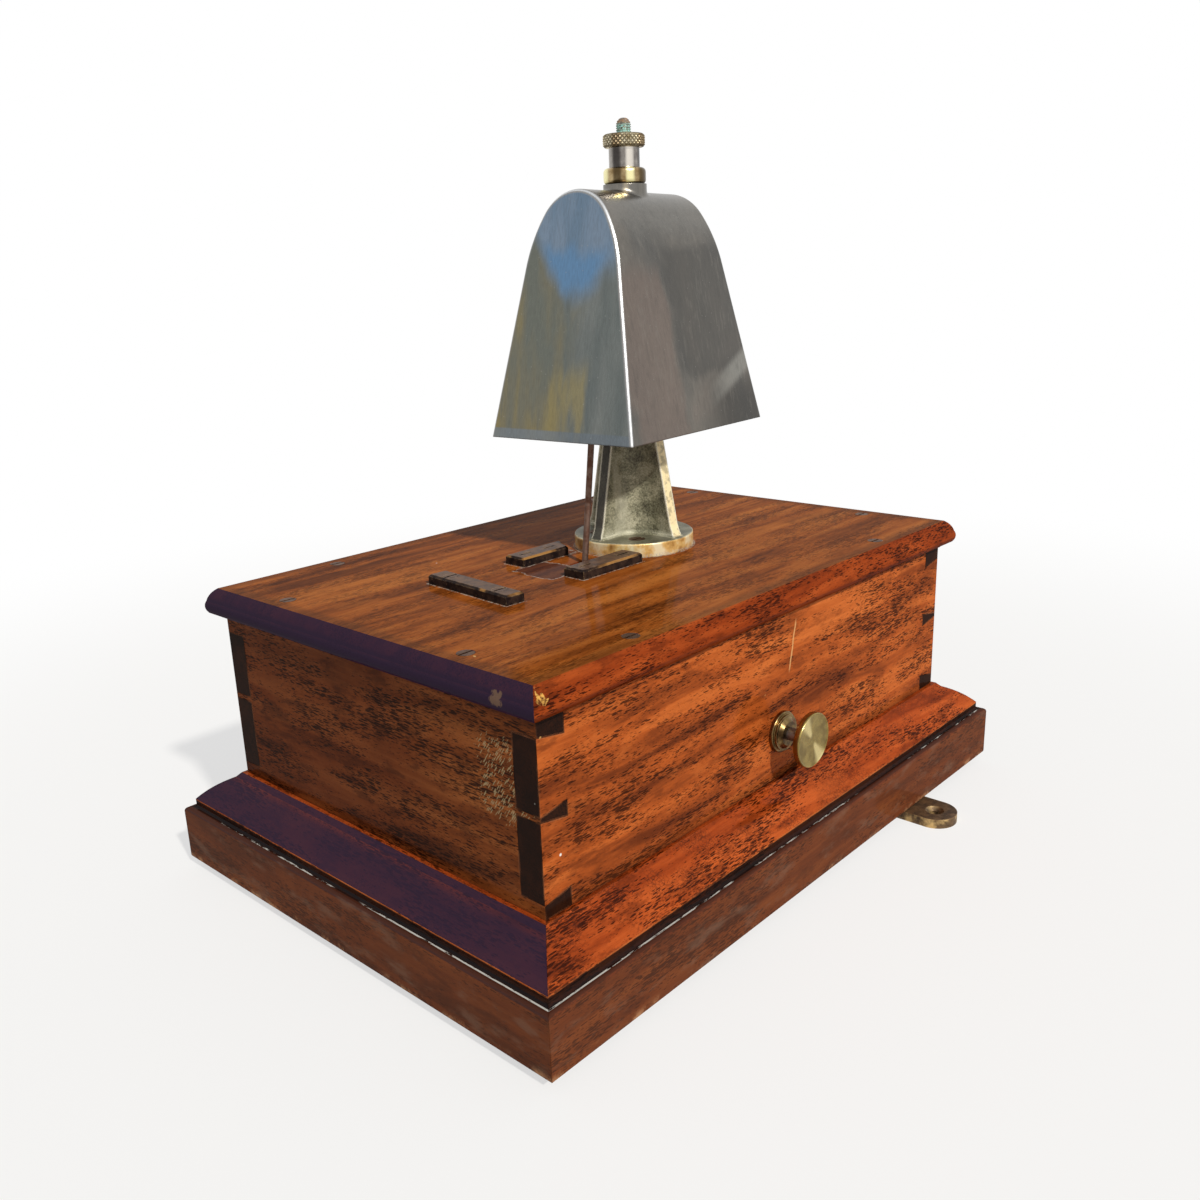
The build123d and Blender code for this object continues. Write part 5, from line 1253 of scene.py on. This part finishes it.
def lay_floor(sizes):
    """A wide flat floor, white to the eye but for the object's soft shadow."""
    across = np.linspace(-6, 6, 13)
    x, y = np.meshgrid(across, across)
    floor = bpy.data.objects.new("floor", grid_mesh("floor", x, y, np.zeros_like(x), False))
    bpy.context.collection.objects.link(floor)
    f = Finish("floor", Roughness=0.9)
    cloud = f.noise(3.0)
    f.skin(f.mix(cloud * 0.1, sizes.floor, (0.74, 0.74, 0.73)))
    white = f.add("ShaderNodeEmission", None, {"Color": (1, 1, 1)}, "Emission")
    seen = f.add("ShaderNodeLightPath", output="Is Camera Ray")
    far = f.distance((0, 0, 0)).rise(0.3, 0.85)
    both = {0: seen * (0.62 + far * 0.38), 1: Value(f, f.shader.outputs["BSDF"]), 2: white}
    f.feed(f.output.inputs["Surface"], f.add("ShaderNodeMixShader", None, both))
    floor.data.materials.append(f.material)


def light(scene, sizes):
    """A soft key from the front and a pale world, white to the eye and to polished metal."""
    lamp = bpy.data.lights.new("key", "SUN")
    lamp.energy = sizes.key
    lamp.angle = math.radians(3)
    lamp.color = (1.0, 0.96, 0.9)
    key = bpy.data.objects.new("key", lamp)
    key.rotation_euler = Vector((-0.217, -0.754, 0.62)).to_track_quat("Z", "Y").to_euler()
    bpy.context.collection.objects.link(key)
    world = scene.world or bpy.data.worlds.new("world")
    scene.world = world
    n = Nodes(world, "ShaderNodeBackground", "ShaderNodeOutputWorld")
    rays = ("Is Camera Ray", "Is Glossy Ray", "Is Transmission Ray")
    camera, glossy, clear = [n.add("ShaderNodeLightPath", output=ray) for ray in rays]
    seen = camera.over(glossy).over(clear)
    n.shader.inputs["Color"].default_value = (1, 1, 1, 1)
    n.feed(n.shader.inputs["Strength"], sizes.fill + seen * (1 - sizes.fill))


def point_camera(scene, sizes):
    """The camera at its eye, turned by azimuth, elevation and roll."""
    turns = (sizes.azimuth, "Z"), (math.pi / 2 - sizes.elevation, "X"), (sizes.roll, "Z")
    around, tilt, roll = [Matrix.Rotation(turn, 4, axis) for turn, axis in turns]
    lens = bpy.data.cameras.new("camera")
    lens.sensor_width = 36
    lens.lens = sizes.lens
    lens.clip_start = 0.01
    camera = bpy.data.objects.new("camera", lens)
    camera.matrix_world = Matrix.Translation(sizes.eye) @ around @ tilt @ roll
    bpy.context.collection.objects.link(camera)
    scene.camera = camera


class BLOCKBELL_PT_panel(bpy.types.Panel):
    """Lists the steps that dress the block bell."""

    bl_idname = "BLOCKBELL_PT_panel"
    bl_label = "Block bell"
    bl_space_type = "VIEW_3D"
    bl_region_type = "UI"
    bl_category = "Block bell"

    def draw(self, context):
        for step in STEPS:
            self.layout.operator(step.bl_idname)


GROUPS = (WoodLook, BellLook, FittingSizes, StageSizes, BlockBellSettings)
STEPS = tuple(Step.__subclasses__())
CLASSES = (*GROUPS, *STEPS, BLOCKBELL_PT_panel)


def register():
    for cls in CLASSES:
        bpy.utils.register_class(cls)
    bpy.types.Scene.block_bell = bpy.props.PointerProperty(
        type=BlockBellSettings, name="Block bell", description="Settings of the block bell"
    )


def unregister():
    del bpy.types.Scene.block_bell
    for cls in reversed(CLASSES):
        bpy.utils.unregister_class(cls)


def main():
    register()
    for step in STEPS:
        group, name = step.bl_idname.split(".")
        getattr(getattr(bpy.ops, group), name)()


if __name__ == "__main__":
    main()
